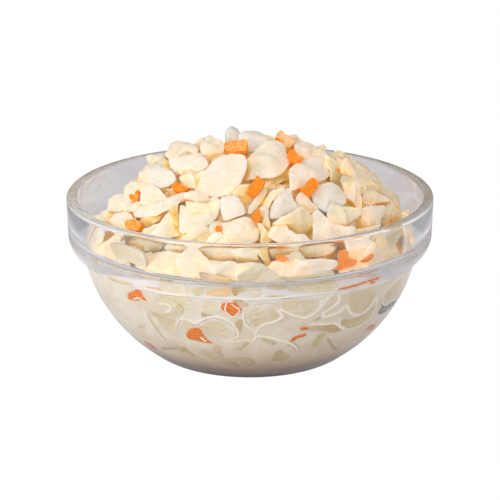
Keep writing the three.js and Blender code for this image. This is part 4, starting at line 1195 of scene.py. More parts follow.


# %% Patches that show through the glass
# name: sort, green, painted golden shade, painted white rim highlight, outline
PATCHES = dict(
    tan_top_left=("leaf", 0.6, 0, 0.5, [(155, 300), (163, 295), (178, 293), (190, 295), (192, 303),
    (186, 310), (180, 303), (173, 310), (165, 311), (158, 305)]),
    tan_in_white=("leaf", 0.1, 0.35, 0.4, [(147, 311), (156, 317), (160, 324), (165, 330), (172, 333),
    (178, 331), (176.5, 323), (179, 316), (172, 311), (163, 312), (158, 312)]),
    olive_line=("leaf", 1, 0.5, 0, [(146.5, 313), (148, 312.5), (152, 321), (158, 329), (163, 336),
    (168, 341), (166.5, 342), (161, 336.5), (156, 330), (150, 321)]),
    oval_leaf=("leaf", 0, 0.2, 0.9, [(195, 327), (203, 321.5), (214, 318.5), (224, 321), (232, 326),
    (237, 332), (232, 337), (220, 338), (205, 336.5), (197, 332)]),
    white_film=("leaf", 0.1, 0.1, 0.9, [(178, 323), (184, 319), (192, 321.5), (198, 325), (192, 327.5),
    (185, 329), (179, 331)]),
    gold_brown_gap=("leaf", 0, 0.9, 0, [(235, 323), (238, 320), (242, 319), (243, 325), (241, 331),
    (238, 333), (236, 328)]),
    brown_gap_top=("leaf", 0, 0.95, 0, [(232, 300), (240, 300), (245, 303), (249, 307), (240, 306),
    (234, 303)]),
    green_tan=("leaf", 0.05, 0.25, 0.8, [(243, 312), (255, 306), (270, 303), (277, 305), (279, 312),
    (284.5, 317), (276, 321), (262, 324.5), (256, 329), (248, 325)]),
    tan_wedge=("leaf", 0.3, 0.1, 0.6, [(277, 302), (285, 299), (300, 298.5), (316, 299), (320, 304),
    (314, 312), (307, 317.5), (299, 318), (286, 313.5), (279, 310)]),
    white_lined=("leaf", 0.1, 0.3, 0.9, [(338, 295), (340.5, 299), (336, 306), (329, 312), (324, 317.5),
    (322, 313), (326, 306.5), (332, 300)]),
    right_big_leaf=("leaf", 0, 0.3, 0.7, [(345, 303), (347, 292), (358, 287), (372, 288), (377, 295),
    (374, 302), (367, 309.5), (360, 314), (352, 315.5), (348, 310)]),
    olive_crescent=("leaf", 0.9, 0.35, 0, [(340, 325), (342, 319), (350, 319.5), (360, 316.5), (368, 312),
    (375, 305), (373, 314), (368.5, 320.5), (357, 326), (348, 329.5)]),
    brown_patch_right=("leaf", 0.2, 0.9, 0, [(307, 328), (318, 325.5), (333, 323.5), (342.5, 330),
    (334, 333), (322, 330.5), (309, 330.5)]),
    tan_strip_low=("leaf", 0.8, 0.45, 0, [(311, 345), (317, 337), (321, 332), (326.5, 333.5), (321, 341),
    (315, 346.5)]),
    tan_strip_right=("leaf", 0.1, 0.8, 0, [(325.5, 339), (328.5, 338), (334, 346.5), (338.5, 350),
    (335, 351.5), (331, 346.5)]),
    wedge_low=("leaf", 0.1, 0.6, 0, [(289, 340), (296, 344), (300, 349), (297, 352.5), (293, 347.5),
    (286, 343.5)]),
    olive_chip=("leaf", 0.9, 0.5, 0, [(261.5, 337.5), (268, 339.5), (276.5, 343), (275, 345), (267, 343.5),
    (261.5, 340)]),
    brown_hook=("leaf", 0, 0.5, 0, [(232, 347.5), (240, 348), (244, 343.5), (249, 342), (246, 346.5),
    (241, 351), (234, 350)]),
    low_wedge=("leaf", 0.5, 0.45, 0, [(271, 361), (275, 352.5), (280, 349), (285, 353), (291, 356),
    (284, 361.5)]),
    low_pink_left=("leaf", 0, 0.4, 0, [(199, 353), (205, 348.5), (214, 353.5), (227, 358), (237, 363),
    (241, 367.5), (231, 366), (219, 362), (208, 357)]),
    low_pink_chip=("leaf", 0, 0.45, 0, [(211, 349), (215, 344.5), (221.5, 346.5), (220.5, 351),
    (224.5, 357), (217, 354)]),
    low_pink_middle=("leaf", 0, 0.35, 0, [(226, 359), (232, 356), (242, 357), (252, 359), (256.5, 364),
    (250, 366.5), (240, 363)]),
    olive_sliver_a=("leaf", 0.8, 0.6, 0, [(162, 347.5), (172, 347.3), (180, 348), (180, 350), (170, 349.5),
    (162, 349.5)]),
    olive_sliver_b=("leaf", 0.9, 0.5, 0, [(175, 345), (178, 345), (185, 352), (183, 353)]),
    olive_sliver_c=("leaf", 1, 0.6, 0, [(181, 347.5), (184, 346), (189, 351), (195, 355), (193, 357),
    (187, 353)]),
    far_right_white=("leaf", 0.05, 0.1, 1, [(382, 300), (388, 290), (396, 281), (403, 274.5), (402, 283),
    (395, 292), (386, 304)]),
    white_bar=("leaf", 0, 0, 0.8, [(202, 305), (210, 300.5), (222, 303), (223, 310), (214, 313.5),
    (204, 312.5)]),
    brown_under_bar=("leaf", 0, 0.9, 0, [(201, 312), (206, 314.5), (215, 315), (208, 317), (202, 318)]),
    brown_tick_right=("leaf", 0, 0.6, 0, [(312, 320), (320, 317.5), (321, 318.5), (315, 321.5)]),
    brown_tick_left=("leaf", 0, 0.5, 0, [(137.5, 326), (141, 324.5), (144.5, 323.5), (144, 327.5),
    (140, 328.5)]),
    olive_gap=("leaf", 1, 0.4, 0, [(173, 309.5), (178, 303.5), (182, 304), (184, 309), (181, 315),
    (176, 315)]),
    air_pocket=("air", 0, 0, 0, [(381.8, 301.5), (381, 308), (377.3, 313.1), (380, 314.4), (384.6, 312.6),
    (389, 309), (395.4, 302.8), (397.4, 299.6), (392, 302), (387, 305.4), (383.2, 307.8)]),
    shoulder_gold=("leaf", 0.4, 0.7, 0, [(198.3, 272.6), (206, 274), (209, 275.8), (204.6, 279),
    (200.8, 278.4)]),
    shoulder_tan=("leaf", 0.1, 0.3, 0.3, [(235.3, 277), (246, 271), (253, 265.6), (260, 263.7),
    (269, 267.5), (262, 275), (260, 280), (248, 282), (240, 281.5)]),
    shoulder_white=("leaf", 0, 0, 0.3, [(250, 282.5), (259.6, 276.5), (269, 268.5), (277.4, 275.8),
    (286.4, 282), (275.5, 282.6), (262.8, 283)]),
    shoulder_cream=("leaf", 0.2, 0.12, 0.2, [(278.7, 276.5), (290, 277), (305, 276), (320, 272.5),
    (334, 270.7), (331.6, 273.6), (304, 279), (290, 281.8), (284, 280.5)]),
    under_green=("leaf", 0.5, 0, 0.2, [(160, 280), (170, 281.5), (178, 284), (193, 287.5), (193, 295),
    (186, 296.5), (172, 296), (160, 293)]),
    under_olive=("leaf", 1, 0.25, 0, [(193.5, 287), (204, 287.5), (204, 291), (201, 295), (195, 294.5),
    (192, 291)]),
    under_white_bit=("leaf", 0, 0, 0.2, [(204, 286.4), (223, 287), (216, 289.2), (209.7, 290), (206, 289)]),
    under_notch=("leaf", 0, 0.75, 0, [(231.4, 287), (244.8, 287.5), (245.5, 289.5), (242.3, 293),
    (235.3, 294.5), (232, 293)]),
    under_triangle=("leaf", 0, 0, 0, [(237.8, 294.6), (240.4, 291.1), (243.6, 293.7), (244.8, 296)]),
    under_round=("leaf", 0, 0, 0.4, [(245, 292), (246.5, 288.6), (250, 287), (256, 286.8), (262, 289),
    (262, 294.5), (256, 297), (248, 296.5)]),
    under_shade=("leaf", 0.3, 0.25, 0, [(265, 286), (272.3, 285), (281.9, 285), (287, 286), (285.7, 289.5),
    (275.5, 289.5), (268, 288.5)]),
    under_cream=("leaf", 0.15, 0.05, 0.6, [(287.6, 286), (310, 283), (334.8, 278.5), (338.6, 284.7),
    (335.5, 289), (320, 292), (294.6, 293), (286.4, 291.5)]),
    brown_line_left=("leaf", 0, 1, 0, [(262, 297.4), (274, 295.8), (286, 295.6), (285, 297), (274, 297.8)]),
    brown_line_right=("leaf", 0, 0.9, 0, [(318, 292), (330, 289.8), (338.6, 288.2), (338, 290),
    (329, 291.8)]),
    gold_hair_left=("carrot", 0.85, 0, 0, [(108, 276.8), (121, 281.7), (134, 284.4), (134, 285.6),
    (121, 283), (108, 278)]),
    brown_hair_left=("carrot", 0.9, 0.5, 0, [(143, 285.6), (152, 286.6), (159.5, 287.6), (163, 291.2),
    (158, 289.8), (150, 288.4)]),
    left_band_beige=("leaf", 0, 0.2, 0.2, [(109.5, 243), (120, 245), (133, 248), (143, 253), (146, 262),
    (147, 268), (135, 264), (122, 259), (114.6, 255.6)]),
    right_band_beige=("leaf", 0.1, 0.3, 0.2, [(384.6, 236.5), (394, 232), (404, 228), (400, 238),
    (392, 247), (389.5, 250)]),
    dice_shoulder=("carrot", 0.9, 0, 0, [(205.3, 279.5), (209.7, 276.3), (214.8, 276), (220.6, 276.7),
    (227, 278), (230.8, 280.3), (230.8, 283), (220.6, 282.8), (211, 281)]),
    dice_pale=("carrot", 0.9, 0, 0, [(204, 291), (211, 289), (217.4, 288.4), (223.8, 287), (230.8, 287),
    (232, 290.5), (231.4, 295.4), (220.6, 296), (204.6, 294.5)]),
    dice_speck=("carrot", 0, 0.2, 0, [(233.3, 294), (237.2, 294), (236.5, 295.8), (234.6, 296.2)]),
    carrot_hair_right=("carrot", 0.1, 0, 0, [(361, 262.6), (368, 258.6), (374.6, 253.8), (372, 258.6),
    (366, 262.4)]),
    carrot_line=("carrot", 0, 0.1, 0, [(337, 289.2), (345, 286.8), (357, 284), (368, 281), (380, 277.2),
    (380, 278.6), (368, 282.6), (357, 285.6), (346, 288.6), (338, 290.2)]),
    carrot_line_end=("carrot", 0, 0.1, 0, [(369.5, 283.2), (375, 281.2), (375, 282.4), (370, 284.2)]),
    dice_in_ring=("carrot", 0, 0.2, 0, [(220.5, 305.4), (224, 302.6), (232, 302.2), (238, 305.6),
    (242.6, 309.4), (240, 313.6), (233, 317.4), (227.4, 314), (221.4, 309)]),
    dice_right=("carrot", 0, 0.5, 0, [(299, 329), (302, 327), (307.5, 327), (308, 329.5), (303, 330.5)]),
    dice_low_right=("carrot", 0, 0.5, 0, [(290.5, 341), (292, 337.5), (300, 334.5), (306.5, 333.5),
    (305, 336.5), (297, 338.5), (293, 341.5)]),
    dice_left_bent=("carrot", 0, 0.2, 0, [(186, 334), (189, 329.5), (194, 328), (200, 327.5), (203, 334),
    (208, 340), (214, 343.5), (206, 343), (196, 340.5), (188, 339)]),
    dice_left_sliver=("carrot", 0, 0.3, 0, [(144, 340.5), (149, 343), (154, 346), (158, 350), (153, 349),
    (147, 344.5)]),
    dice_far_left=("carrot", 0, 0.1, 0, [(127, 296), (130, 292), (135, 291), (139, 289.5), (142, 295),
    (147.5, 301.5), (141, 300.5), (133, 300.5), (128.5, 299)]),
    dice_far_right=("carrot", 0, 0.8, 0, [(365.5, 330), (369, 326), (374, 324), (375.5, 326),
    (371, 330.5)]),
)

PATCH_RINGS, PATCH_POINTS = (0.5, 0.78, 0.86, 1.0), 30
PATCH_PROUD, PROUD_STEP, PATCH_THICK = 0.16, 0.002, 0.9
RIM_FROM = 0.8  # the painted white rim highlight of a patch begins at this share of the way from its middle


def patch_shell(outline, proud):
    """A thin shell on the inside of the wall, which reaches a little way into it."""
    wall = np.array([on_wall(u, v) for u, v in outline])
    middle = middle_of(wall)
    around = float(inner_radius(middle[1]))
    flat = ordered(soft_outline((wall - middle) * (around, 1), PATCH_POINTS, (0.12, 0.25)))
    plan, rho = spread_rings(flat, PATCH_RINGS)
    bearing, z = middle[0] + plan[:, 0] / around, middle[1] + plan[:, 1]
    face = on_inner_wall(bearing, z, -proud + 0.05 * rho**8)
    back = on_inner_wall(bearing, z, PATCH_THICK)
    return both_faces(face, back, rho, np.column_stack([plan, z * 0]))


rng = np.random.default_rng(8)
for level, (sort, green, gold_shade, rim, outline) in enumerate(PATCHES.values()):
    points, rho, grain = patch_shell(outline, PATCH_PROUD + PROUD_STEP * level)
    kind = {"leaf": pressed, "carrot": pressed_carrot, "air": air}[sort]
    # Painted shade: each patch darkens towards one side, chosen at random.
    shade_way = rng.uniform(0, math.tau)
    across = grain[:, 0] * math.cos(shade_way) + grain[:, 1] * math.sin(shade_way)
    across = (across - across.min()) / np.ptp(across)
    shade = gold_shade * (0.6 + 0.8 * across) + (0.22 * across**2 if sort == "leaf" else 0)
    faces = shell_faces(len(PATCH_RINGS), PATCH_POINTS)
    kind.add(points, faces, (rho > RIM_FROM) * rim, green, shade, grain, rng)
print("patches on the glass:", len(PATCHES))


# %% Lines of dressing between the patches
# name: width in mm, line
DRESSING_LINES = dict(
    round_wedge=(0.75, [(255.3, 336.5), (256.3, 331.3), (260.5, 326), (265.8, 323.9), (274.2, 322.3),
    (280.5, 318.6), (283.7, 316), (280.5, 313.4), (278.4, 310.2), (281.6, 309.7), (288.9, 313.9),
    (296.3, 316.5), (306.8, 318.1), (313.1, 314.4), (318.4, 309.2), (323.7, 303.9), (327.9, 297.6),
    (333.1, 292.3), (337.3, 289.5)]),
    round_strip=(0.9, [(319.5, 305), (321.6, 300.8), (325.8, 299.7), (330, 297.6), (334.2, 295.5),
    (338.4, 295.5), (340, 298.7), (337.3, 302.9), (332.1, 307.1), (325.8, 311.3), (322.6, 314.4),
    (323.7, 317.6), (330, 315.5), (337.3, 313.4), (340.5, 311.3), (344.7, 307.1), (346.3, 305),
    (348.9, 311.3), (352.1, 315.5), (358.4, 315.5), (364.7, 312.3), (370, 307.1), (374.2, 300.8),
    (377, 299), (376.8, 305), (372.6, 314.4)]),
    under_crescent=(0.5, [(372.6, 314.4), (368.9, 320.5), (363.7, 323.9), (355.2, 328.1), (347.9, 330.2),
    (340.5, 326.5), (339, 322.9), (340, 317.6)]),
    round_far_leaf=(0.6, [(381.5, 299.7), (384.7, 292.3), (390, 286), (397.3, 279.7), (401.5, 275),
    (403.6, 277.6), (402.6, 286), (396.3, 297.6), (390, 302.9), (383.1, 307.1), (382.2, 300)]),
    over_chips=(0.8, [(252.1, 342.9), (256.3, 336.5), (262.6, 336), (271, 338), (279.5, 340.4),
    (287.9, 342.5), (295.2, 346.6), (297.4, 351.3)]),
    over_brown=(0.8, [(307.9, 325.2), (317.3, 323.9), (323.7, 324.6), (333.1, 322.6), (338, 325.4),
    (343.2, 330.2)]),
    round_tan_leaf=(0.5, [(143.9, 309.2), (145.6, 315), (150, 323.5), (156, 331.5), (162.6, 338),
    (169.5, 343)]),
    round_oval=(0.7, [(176.6, 327), (177.6, 320.8), (182.9, 318.1), (190.2, 320.8), (196.5, 323.9),
    (201.8, 319.7), (209.2, 316.6), (219.7, 316.6), (229.2, 320.8), (235.5, 327.1), (238.6, 333.4),
    (237.6, 337.6), (230.2, 338.7)]),
    round_dice=(0.42, [(229.4, 302.6), (226, 305), (224.6, 309), (226.6, 313), (232.8, 317.6), (237, 314.4),
    (240.8, 310.6), (236, 307), (231, 303.6)]),
    curl_left=(0.5, [(158.7, 303.9), (166, 303.6), (171.3, 307.1), (170.6, 311.3), (165, 312.6)]),
    notch_left=(0.35, [(143.9, 288.1), (156.6, 291.3), (169.2, 293.6), (194.4, 296.4)]),
    notch_middle=(0.35, [(194.4, 296.6), (215, 297.6), (236, 298.2), (250, 298.6), (268, 298.4),
    (288, 297.6), (310, 294.6), (335, 290.6)]),
    wedge_on_dice_far=(0.5, [(133.5, 299.6), (138, 297.4), (141, 299.4), (145.4, 302)]),
    wedge_on_dice_bent=(0.7, [(200.6, 337.2), (203.4, 339.6), (206.6, 341.8)]),
    edge_middle_left=(0.5, [(244, 312), (243, 319), (246, 326), (254, 330)]),
    edge_low=(0.45, [(222, 341), (236, 342.5), (247, 339), (252, 342.9)]),
)

LINE_PROUD, LINE_STEP, LINE_BACK = 0.34, 0.003, 0.5
LINE_END, TAPER_POWER = 0.04, 0.35


def strip_shell(line, width, proud):
    """A thin line of dressing on the inside of the wall, tapered at both ends."""
    wall = np.array([on_wall(u, v) for u, v in line])
    for _ in range(2):
        near, far = wall[:-1], wall[1:]
        between = np.stack([near * 0.75 + far * 0.25, near * 0.25 + far * 0.75], 1).reshape(-1, 2)
        wall = np.vstack([wall[:1], between, wall[-1:]])
    around = float(inner_radius(wall[:, 1].mean()))
    plane = wall * (around, 1)
    count = len(plane)
    along = np.gradient(plane, axis=0)
    along /= np.linalg.norm(along, axis=1)[:, None]
    taper = np.sin(np.linspace(LINE_END, 1 - LINE_END, count) * np.pi) ** TAPER_POWER
    side = np.column_stack([-along[:, 1], along[:, 0]]) * (taper * width / 2)[:, None]
    edges = [(side, -proud), (-side, -proud), (-side * 0.8, LINE_BACK), (side * 0.8, LINE_BACK)]
    rails = [on_inner_wall(*((plane + edge) / (around, 1)).T, inset) for edge, inset in edges]
    faces = [(a * count + i, b * count + i, b * count + i + 1, a * count + i + 1)
             for a, b in ((1, 0), (2, 1), (3, 2), (0, 3)) for i in range(count - 1)]
    faces += [(0, count, 2 * count, 3 * count), tuple(k * count - 1 for k in (4, 3, 2, 1))]
    return np.vstack(rails), faces


film = Kind("dressing_lines")
rng = np.random.default_rng(9)
for level, (width, line) in enumerate(DRESSING_LINES.values()):
    points, faces = strip_shell(line, width, LINE_PROUD + LINE_STEP * level)
    film.add(points, faces, np.zeros(len(points)), 0, 0, points, rng)
print("lines of dressing:", film.count)


# %% [markdown]
# The dressing runs down and gathers in the bowl, where it fills all the space between the pieces
# and lies on the glass. It is spun like the bowl, and reaches just into the wall.

# %% The dressing in the bowl
SHELF_TOP = 41.4
WALL_LAP, FLOOR_LAP = 0.06, 0.05  # how far the dressing reaches into the wall and the floor, in mm
DRESSING_STEPS, UNDER_HEAP = 60, 6.0
# bearing in radians, and how far below the heap's pieces the dressing ends on the glass, in mm
DRESSING_EDGE = np.array([(-1.3, 4.4), (-0.8, 3.8), (-0.55, 3.0), (-0.3, 2.0), (0.0, 0.35), (0.2, 0.35),
                          (0.46, 1.2), (0.6, 2.6), (0.8, 4.0), (1.1, 5.0), (1.6, 5.0)])


def dressing_section():
    points = [(0, FLOOR_Z)] + curve_through(FLOOR_EDGE, FLOOR_LEAN, body_point(INNER_BODY, CORNER_Z), 5)
    points += body_arc(INNER_BODY, CORNER_Z, LEDGE_Z, DRESSING_STEPS)
    points += [(float(inner_radius(z)), z) for z in np.linspace(LEDGE_Z, SHELF_TOP, 10)[1:]]
    inner = [(r, float(heap_height(HEAP_X + r, 0)) - UNDER_HEAP) for r in (46, 42, 36, 28, 20, 10, 0)]
    return points + [(52.0, 39.2), (49.5, 38.6)] + inner


def fit_to_wall(place):
    """Draws the edge of the dressing on the glass, and presses what lies there to the wall."""
    x, y, z = place.T
    r = np.hypot(x, y)
    on_glass = (r > FLOOR_RADIUS) & (r > inner_radius(z) - 0.2) & (z < SHELF_TOP + 0.1)
    edge = CORNER_TOP - np.interp(np.arctan2(x, -y), *DRESSING_EDGE.T)
    share = (edge - LEDGE_Z) / (SHELF_TOP - LEDGE_Z)
    z = np.where(on_glass & (z > LEDGE_Z), LEDGE_Z + (z - LEDGE_Z) * share, z)
    wall_r = np.where(on_glass, inner_radius(z) + WALL_LAP, r)
    out = wall_r / np.maximum(r, 1e-9)
    return np.column_stack([x * out, y * out, np.where(z <= FLOOR_Z + 0.01, z - FLOOR_LAP, z)])


dressing = spin_section("dressing", dressing_section(), SPIN_STEPS)
place = np.empty(len(dressing.data.vertices) * 3)
dressing.data.vertices.foreach_get("co", place)
place = fit_to_wall(place.reshape(-1, 3) / MM)
dressing.data.vertices.foreach_set("co", (place * MM).ravel())
dressing.data.update()
smooth_by_angle(dressing, 60)
print("dressing:", len(dressing.data.polygons), "faces")


# %% [markdown]
# Cabbage is pale and lets light in, so it glows where it is thin. The golden tone where light has to
# pass through several pieces is painted shade, driven by two things: the depth written into each
# mesh, and a nook share that is read off the surface itself, from how close the next pieces lie. In
# the deepest cracks a faint painted glow stands for the light that seeps through. The rim of each cut
# is whiter, a painted highlight, and a fine grain follows each leaf. Pieces behind the glass are
# simpler, and a painted shade darkens them to the foot of the bowl.

# %% What the finishes of the food share
NOOK_REACH = 0.006  # metres
FOOT_SHADE_FROM, FOOT_SHADE_TO = 4.0, 30.0  # in mm
FOOT_SHADE_STOPS = [
    (0.0, (0.22, 0.14, 0.08, 1)),
    (0.07, (0.42, 0.33, 0.25, 1)),
    (0.25, (0.77, 0.70, 0.625, 1)),
    (0.55, WHITE),
]


def read_look(start):
    """Tint, painted shade depth, painted edge highlight and luck, as they were written into the mesh."""
    look = start.node("ShaderNodeAttribute", attribute_name="look")
    return *look.output("Color").parts("ShaderNodeSeparateColor"), look.output("Alpha")


def read_grain(start):
    return start.node("ShaderNodeAttribute", attribute_name="grain").output("Vector")


def height_of(place):
    """The height in millimetres."""
    return place.parts()[2] * 1000.0


def fan_streaks(grain, luck):
    """Streaks that fan out over a leaf, as its veins do."""
    along, across, rise = grain.parts()
    fan = across.math("ARCTAN2", along + 9.0)
    parts = {0: fan * 9.0, 1: along * 0.07, 2: luck * 30.0 + rise * 0.2}
    return grain.node("ShaderNodeCombineXYZ", parts).noise(1.7, 3.0, 0.55)


def with_foot_shade(place, colour):
    """Painted shade: the colour darkens towards the foot of the bowl, where little light comes."""
    return height_of(place).span(FOOT_SHADE_FROM, FOOT_SHADE_TO).ramp(*FOOT_SHADE_STOPS).mix_by(colour)


def nook_share(start):
    """0 in the open, and towards 1 where other pieces lie close by, which steers the painted shade and
    glow.
    """
    free = start.node("ShaderNodeAmbientOcclusion", {1: NOOK_REACH}, output=1, samples=6, only_local=True)
    return free.span(0.3, 0.95, 1.0, 0.0)


def let_light_in(start, shader, weight, reach, scale, method="BURLEY"):
    """Light spreads under the surface, farther for red than for blue."""
    shader.subsurface_method = method
    feed(start, shader, Subsurface_Weight=weight, Subsurface_Radius=reach, Subsurface_Scale=scale)


# %% Cabbage
PALE, GREEN, GOLD_SHADE = (0.915, 0.865, 0.785, 1), (0.87, 0.86, 0.60, 1), (0.83, 0.52, 0.085, 1)
SHADED_PALE, SHADED_GREEN = (0.92, 0.76, 0.42, 1), (0.80, 0.70, 0.26, 1)
RIB_PALE, RIB_GREEN = (0.985, 0.925, 0.85, 1), (0.92, 0.88, 0.70, 1)
WET_PALE, WET_GREEN, WET_GOLD_SHADE = (0.95, 0.86, 0.69, 1), (0.84, 0.78, 0.46, 1), (0.62, 0.41, 0.18, 1)
BUTTER, CREAM, VEIN = (0.90, 0.84, 0.62, 1), (0.965, 0.935, 0.885, 1), (0.96, 0.925, 0.855, 1)
STRAW_SHADE, OLIVE_SHADE, AMBER_SHADE = (0.89, 0.80, 0.53, 1), (0.74, 0.63, 0.20, 1), (0.62, 0.33, 0.03, 1)
CUT_EDGE_HIGHLIGHT, LEAF_PAINTED_GLOW = (0.975, 0.95, 0.905, 1), (0.012, 0.010, 0.009, 1)
SEEP_GLOW_COLOUR = (1.1, 0.56, 0.06)


def mottled(tint, cloud, streak, blotch, pale, green):
    """From pale to green, with cloudy patches of butter and cream, and whiter veins."""
    colour = (tint + blotch * 0.6 - 0.3).clamped().mix(pale, green)
    colour = (cloud.ramp((0.36, WHITE), (0.5, grey(0))) * 0.5).mix(colour, BUTTER)
    colour = (cloud.ramp((0.52, grey(0)), (0.62, WHITE)) * 0.7).mix(colour, CREAM)
    return (streak.ramp((0.42, grey(0)), (0.68, WHITE)) * 0.5).mix(colour, VEIN)


def with_painted_gold_shade(colour, deep, edge, tint, gold_shade):
    """Painted shade of straw, then golden or olive, and amber in the deepest gaps; cut edges get a painted
    highlight.
    """
    olive = (tint * 1.6).clamped().mix(gold_shade, OLIVE_SHADE)
    colour = (deep * 2.2).clamped().mix(colour, STRAW_SHADE)
    colour = deep.span(0.4, 0.85).mix(colour, olive)
    colour = (edge * 0.75).mix(colour, CUT_EDGE_HIGHLIGHT)
    return deep.span(0.7, 1.0, 0.0, 0.6).mix(colour, AMBER_SHADE)


def painted_seep_glow(nook, glow):
    """A painted glow for the light that seeps out of the deepest cracks."""
    crack = nook.span(0.5, 1.0)
    return (crack * crack).mix(LEAF_PAINTED_GLOW, (*[part * glow for part in SEEP_GLOW_COLOUR], 1))


def cabbage_material(name, pale, green, gold_shade, gold_shade_share, rough=0.36, glow=0.12, sunk=False):
    material, start, shader = new_material(name)
    tint, depth, edge, luck = read_look(start)
    place = object_place(start)
    streak = fan_streaks(read_grain(start), luck)
    cloud = place.noise(260.0, distortion=0.8)
    colour = mottled(tint, cloud, streak, place.noise(150.0), pale, green)
    # deep is the painted golden shade: the written depth, with a little random tone from luck.
    deep = (depth * gold_shade_share + luck * 0.12 - 0.06).clamped()
    if sunk:
        # Behind the glass: painted golden shade, then the painted highlight on cut edges.
        colour = (edge * 0.75).mix(deep.mix(colour, gold_shade), CUT_EDGE_HIGHLIGHT)
        feed(start, shader, Base_Color=with_foot_shade(place, colour))
    else:
        nook = nook_share(start)
        # The nook share adds painted shade where other pieces lie close.
        deep = (deep * (0.75 + nook * 0.25) + nook * 0.5).clamped()
        colour = with_painted_gold_shade(colour, deep, edge, tint, gold_shade)
        feed(start, shader, Base_Color=colour)
        # A faint painted glow on every leaf, stronger in the deepest cracks.
        feed(start, shader, Emission_Color=painted_seep_glow(nook, glow), Emission_Strength=1.0)
        let_light_in(start, shader, 0.7, (1.0, 0.8, 0.42), 0.003)
    height = streak * 0.5 + cloud + place.noise(900.0) * 0.15
    bump = start.node("ShaderNodeBump", {"Height": height, "Strength": 0.8, "Distance": 0.0009})
    feed(start, shader, Roughness=rough, Normal=bump)
    feed(start, shader, Specular_IOR_Level=0.35, Coat_Weight=0.2, Coat_Roughness=0.15)
    return material


cabbage = cabbage_material("dressed_cabbage", PALE, GREEN, GOLD_SHADE, 1.15)
# The under leaves are a shaded copy of the cabbage, more golden with painted shade.
shaded_cabbage = cabbage_material("shaded_cabbage", SHADED_PALE, SHADED_GREEN, GOLD_SHADE, 1.0, glow=0.14)
rib_finish = cabbage_material("cabbage_rib", RIB_PALE, RIB_GREEN, GOLD_SHADE, 0.7, rough=0.3)
wet_cabbage = cabbage_material("wet_cabbage", WET_PALE, WET_GREEN, WET_GOLD_SHADE, 0.75, sunk=True)
print("cabbage finishes:", cabbage.name, shaded_cabbage.name, rib_finish.name, wet_cabbage.name)


# %% [markdown]
# Carrot is a strong orange with paler streaks along its grain. The dice keep crisp faces, and a dice
# whose tint is high is pale with dressing. Carrot lets red light in deeply, which the surface
# scattering and a little painted glow of its own give, in place of a slow volume. A painted shade
# turns the dice that lie deep a darker red.

# %% Carrot
CARROT_STOPS = [(0.35, (1.0, 0.20, 0.004, 1)), (0.58, (1.0, 0.28, 0.008, 1)), (0.78, (1.0, 0.45, 0.06, 1))]
WET_STOPS = [(0.36, (0.82, 0.12, 0.004, 1)), (0.5, (1.0, 0.24, 0.006, 1)), (0.68, (1.0, 0.50, 0.16, 1))]
SPECK, DRESSED_CARROT, SHADED_CARROT = (1.0, 0.70, 0.22, 1), (1.0, 0.74, 0.46, 1), (0.90, 0.20, 0.01, 1)
WET_CARROT_EDGE, CARROT_PAINTED_GLOW = (0.95, 0.72, 0.58, 1), (1.0, 0.34, 0.03, 1)


def carrot_material(name, sunk=False):
    material, start, shader = new_material(name)
    tint, depth, edge, _ = read_look(start)
    place = object_place(start)
    streak = read_grain(start).stretched((0.5, 1.5, 1.5)).noise(1.3, 4.0, 0.65)
    colour = streak.ramp(*(WET_STOPS if sunk else CARROT_STOPS))
    speckle = place.noise(1150.0, rough=0.6).ramp((0.46, grey(0)), (0.6, WHITE))
    colour = (speckle * (0.12 + tint * 1.5)).clamped().mix(colour, SPECK)
    colour = (tint * tint * (1.3 - edge * 1.2)).clamped().mix(colour, DRESSED_CARROT)
    # Painted shade: dice that lie deep turn a darker red.
    colour = (depth * 0.5).clamped().mix(colour, SHADED_CARROT)
    if sunk:
        colour = with_foot_shade(place, (edge * 0.6).mix(colour, WET_CARROT_EDGE))
    else:
        # A faint painted glow stands for the red light that comes back out of the carrot.
        feed(start, shader, Emission_Color=CARROT_PAINTED_GLOW, Emission_Strength=0.13)
    bump = start.node("ShaderNodeBump", {"Height": streak, "Strength": 0.5, "Distance": 0.0005})
    feed(start, shader, Base_Color=colour, Roughness=0.4, Specular_IOR_Level=0.16, Normal=bump)
    let_light_in(start, shader, 0.5, (1.0, 0.35, 0.1), 0.001)
    return material


carrot_finish, wet_carrot = carrot_material("carrot"), carrot_material("wet_carrot", sunk=True)
print("carrot finishes:", carrot_finish.name, wet_carrot.name)


# %% [markdown]
# The dressing is cream that is whiter in cloudy patches. Where it lies on the glass in the ledge, a painted
# lavender light and a faint painted glow are mixed in by height, and only where the surface stands up.
# The lines that run on the glass are nearer to white and carry a faint painted glow, so that they stand
# out from the pressed pieces. A pocket of air is painted grey, as a painted reflection of the dim side of
# the room.

# %% Dressing
DRESSING_STOPS = [
    (0.38, (0.93, 0.83, 0.71, 1)),
    (0.52, (0.985, 0.915, 0.83, 1)),
    (0.66, (1.0, 0.965, 0.90, 1)),
]
BAND_PAINTED_LIGHT, BAND_PAINTED_GLOW = (0.90, 0.895, 0.93, 1), (0.075, 0.073, 0.08, 1)
BAND_LIGHT_FROM, BAND_LIGHT_FULL = 35.2, 37.0  # heights in mm
LINE_WHITE, LINE_PAINTED_GLOW = (1.0, 0.97, 0.92, 1), (0.09, 0.086, 0.08, 1)
AIR_REFLECTION_STOPS = [(0.4, (0.14, 0.14, 0.16, 1)), (0.62, (0.34, 0.34, 0.37, 1))]


def dressing_cloud(place):
    return place.noise(110.0, 3.0, 0.55, 0.6).ramp(*DRESSING_STOPS)


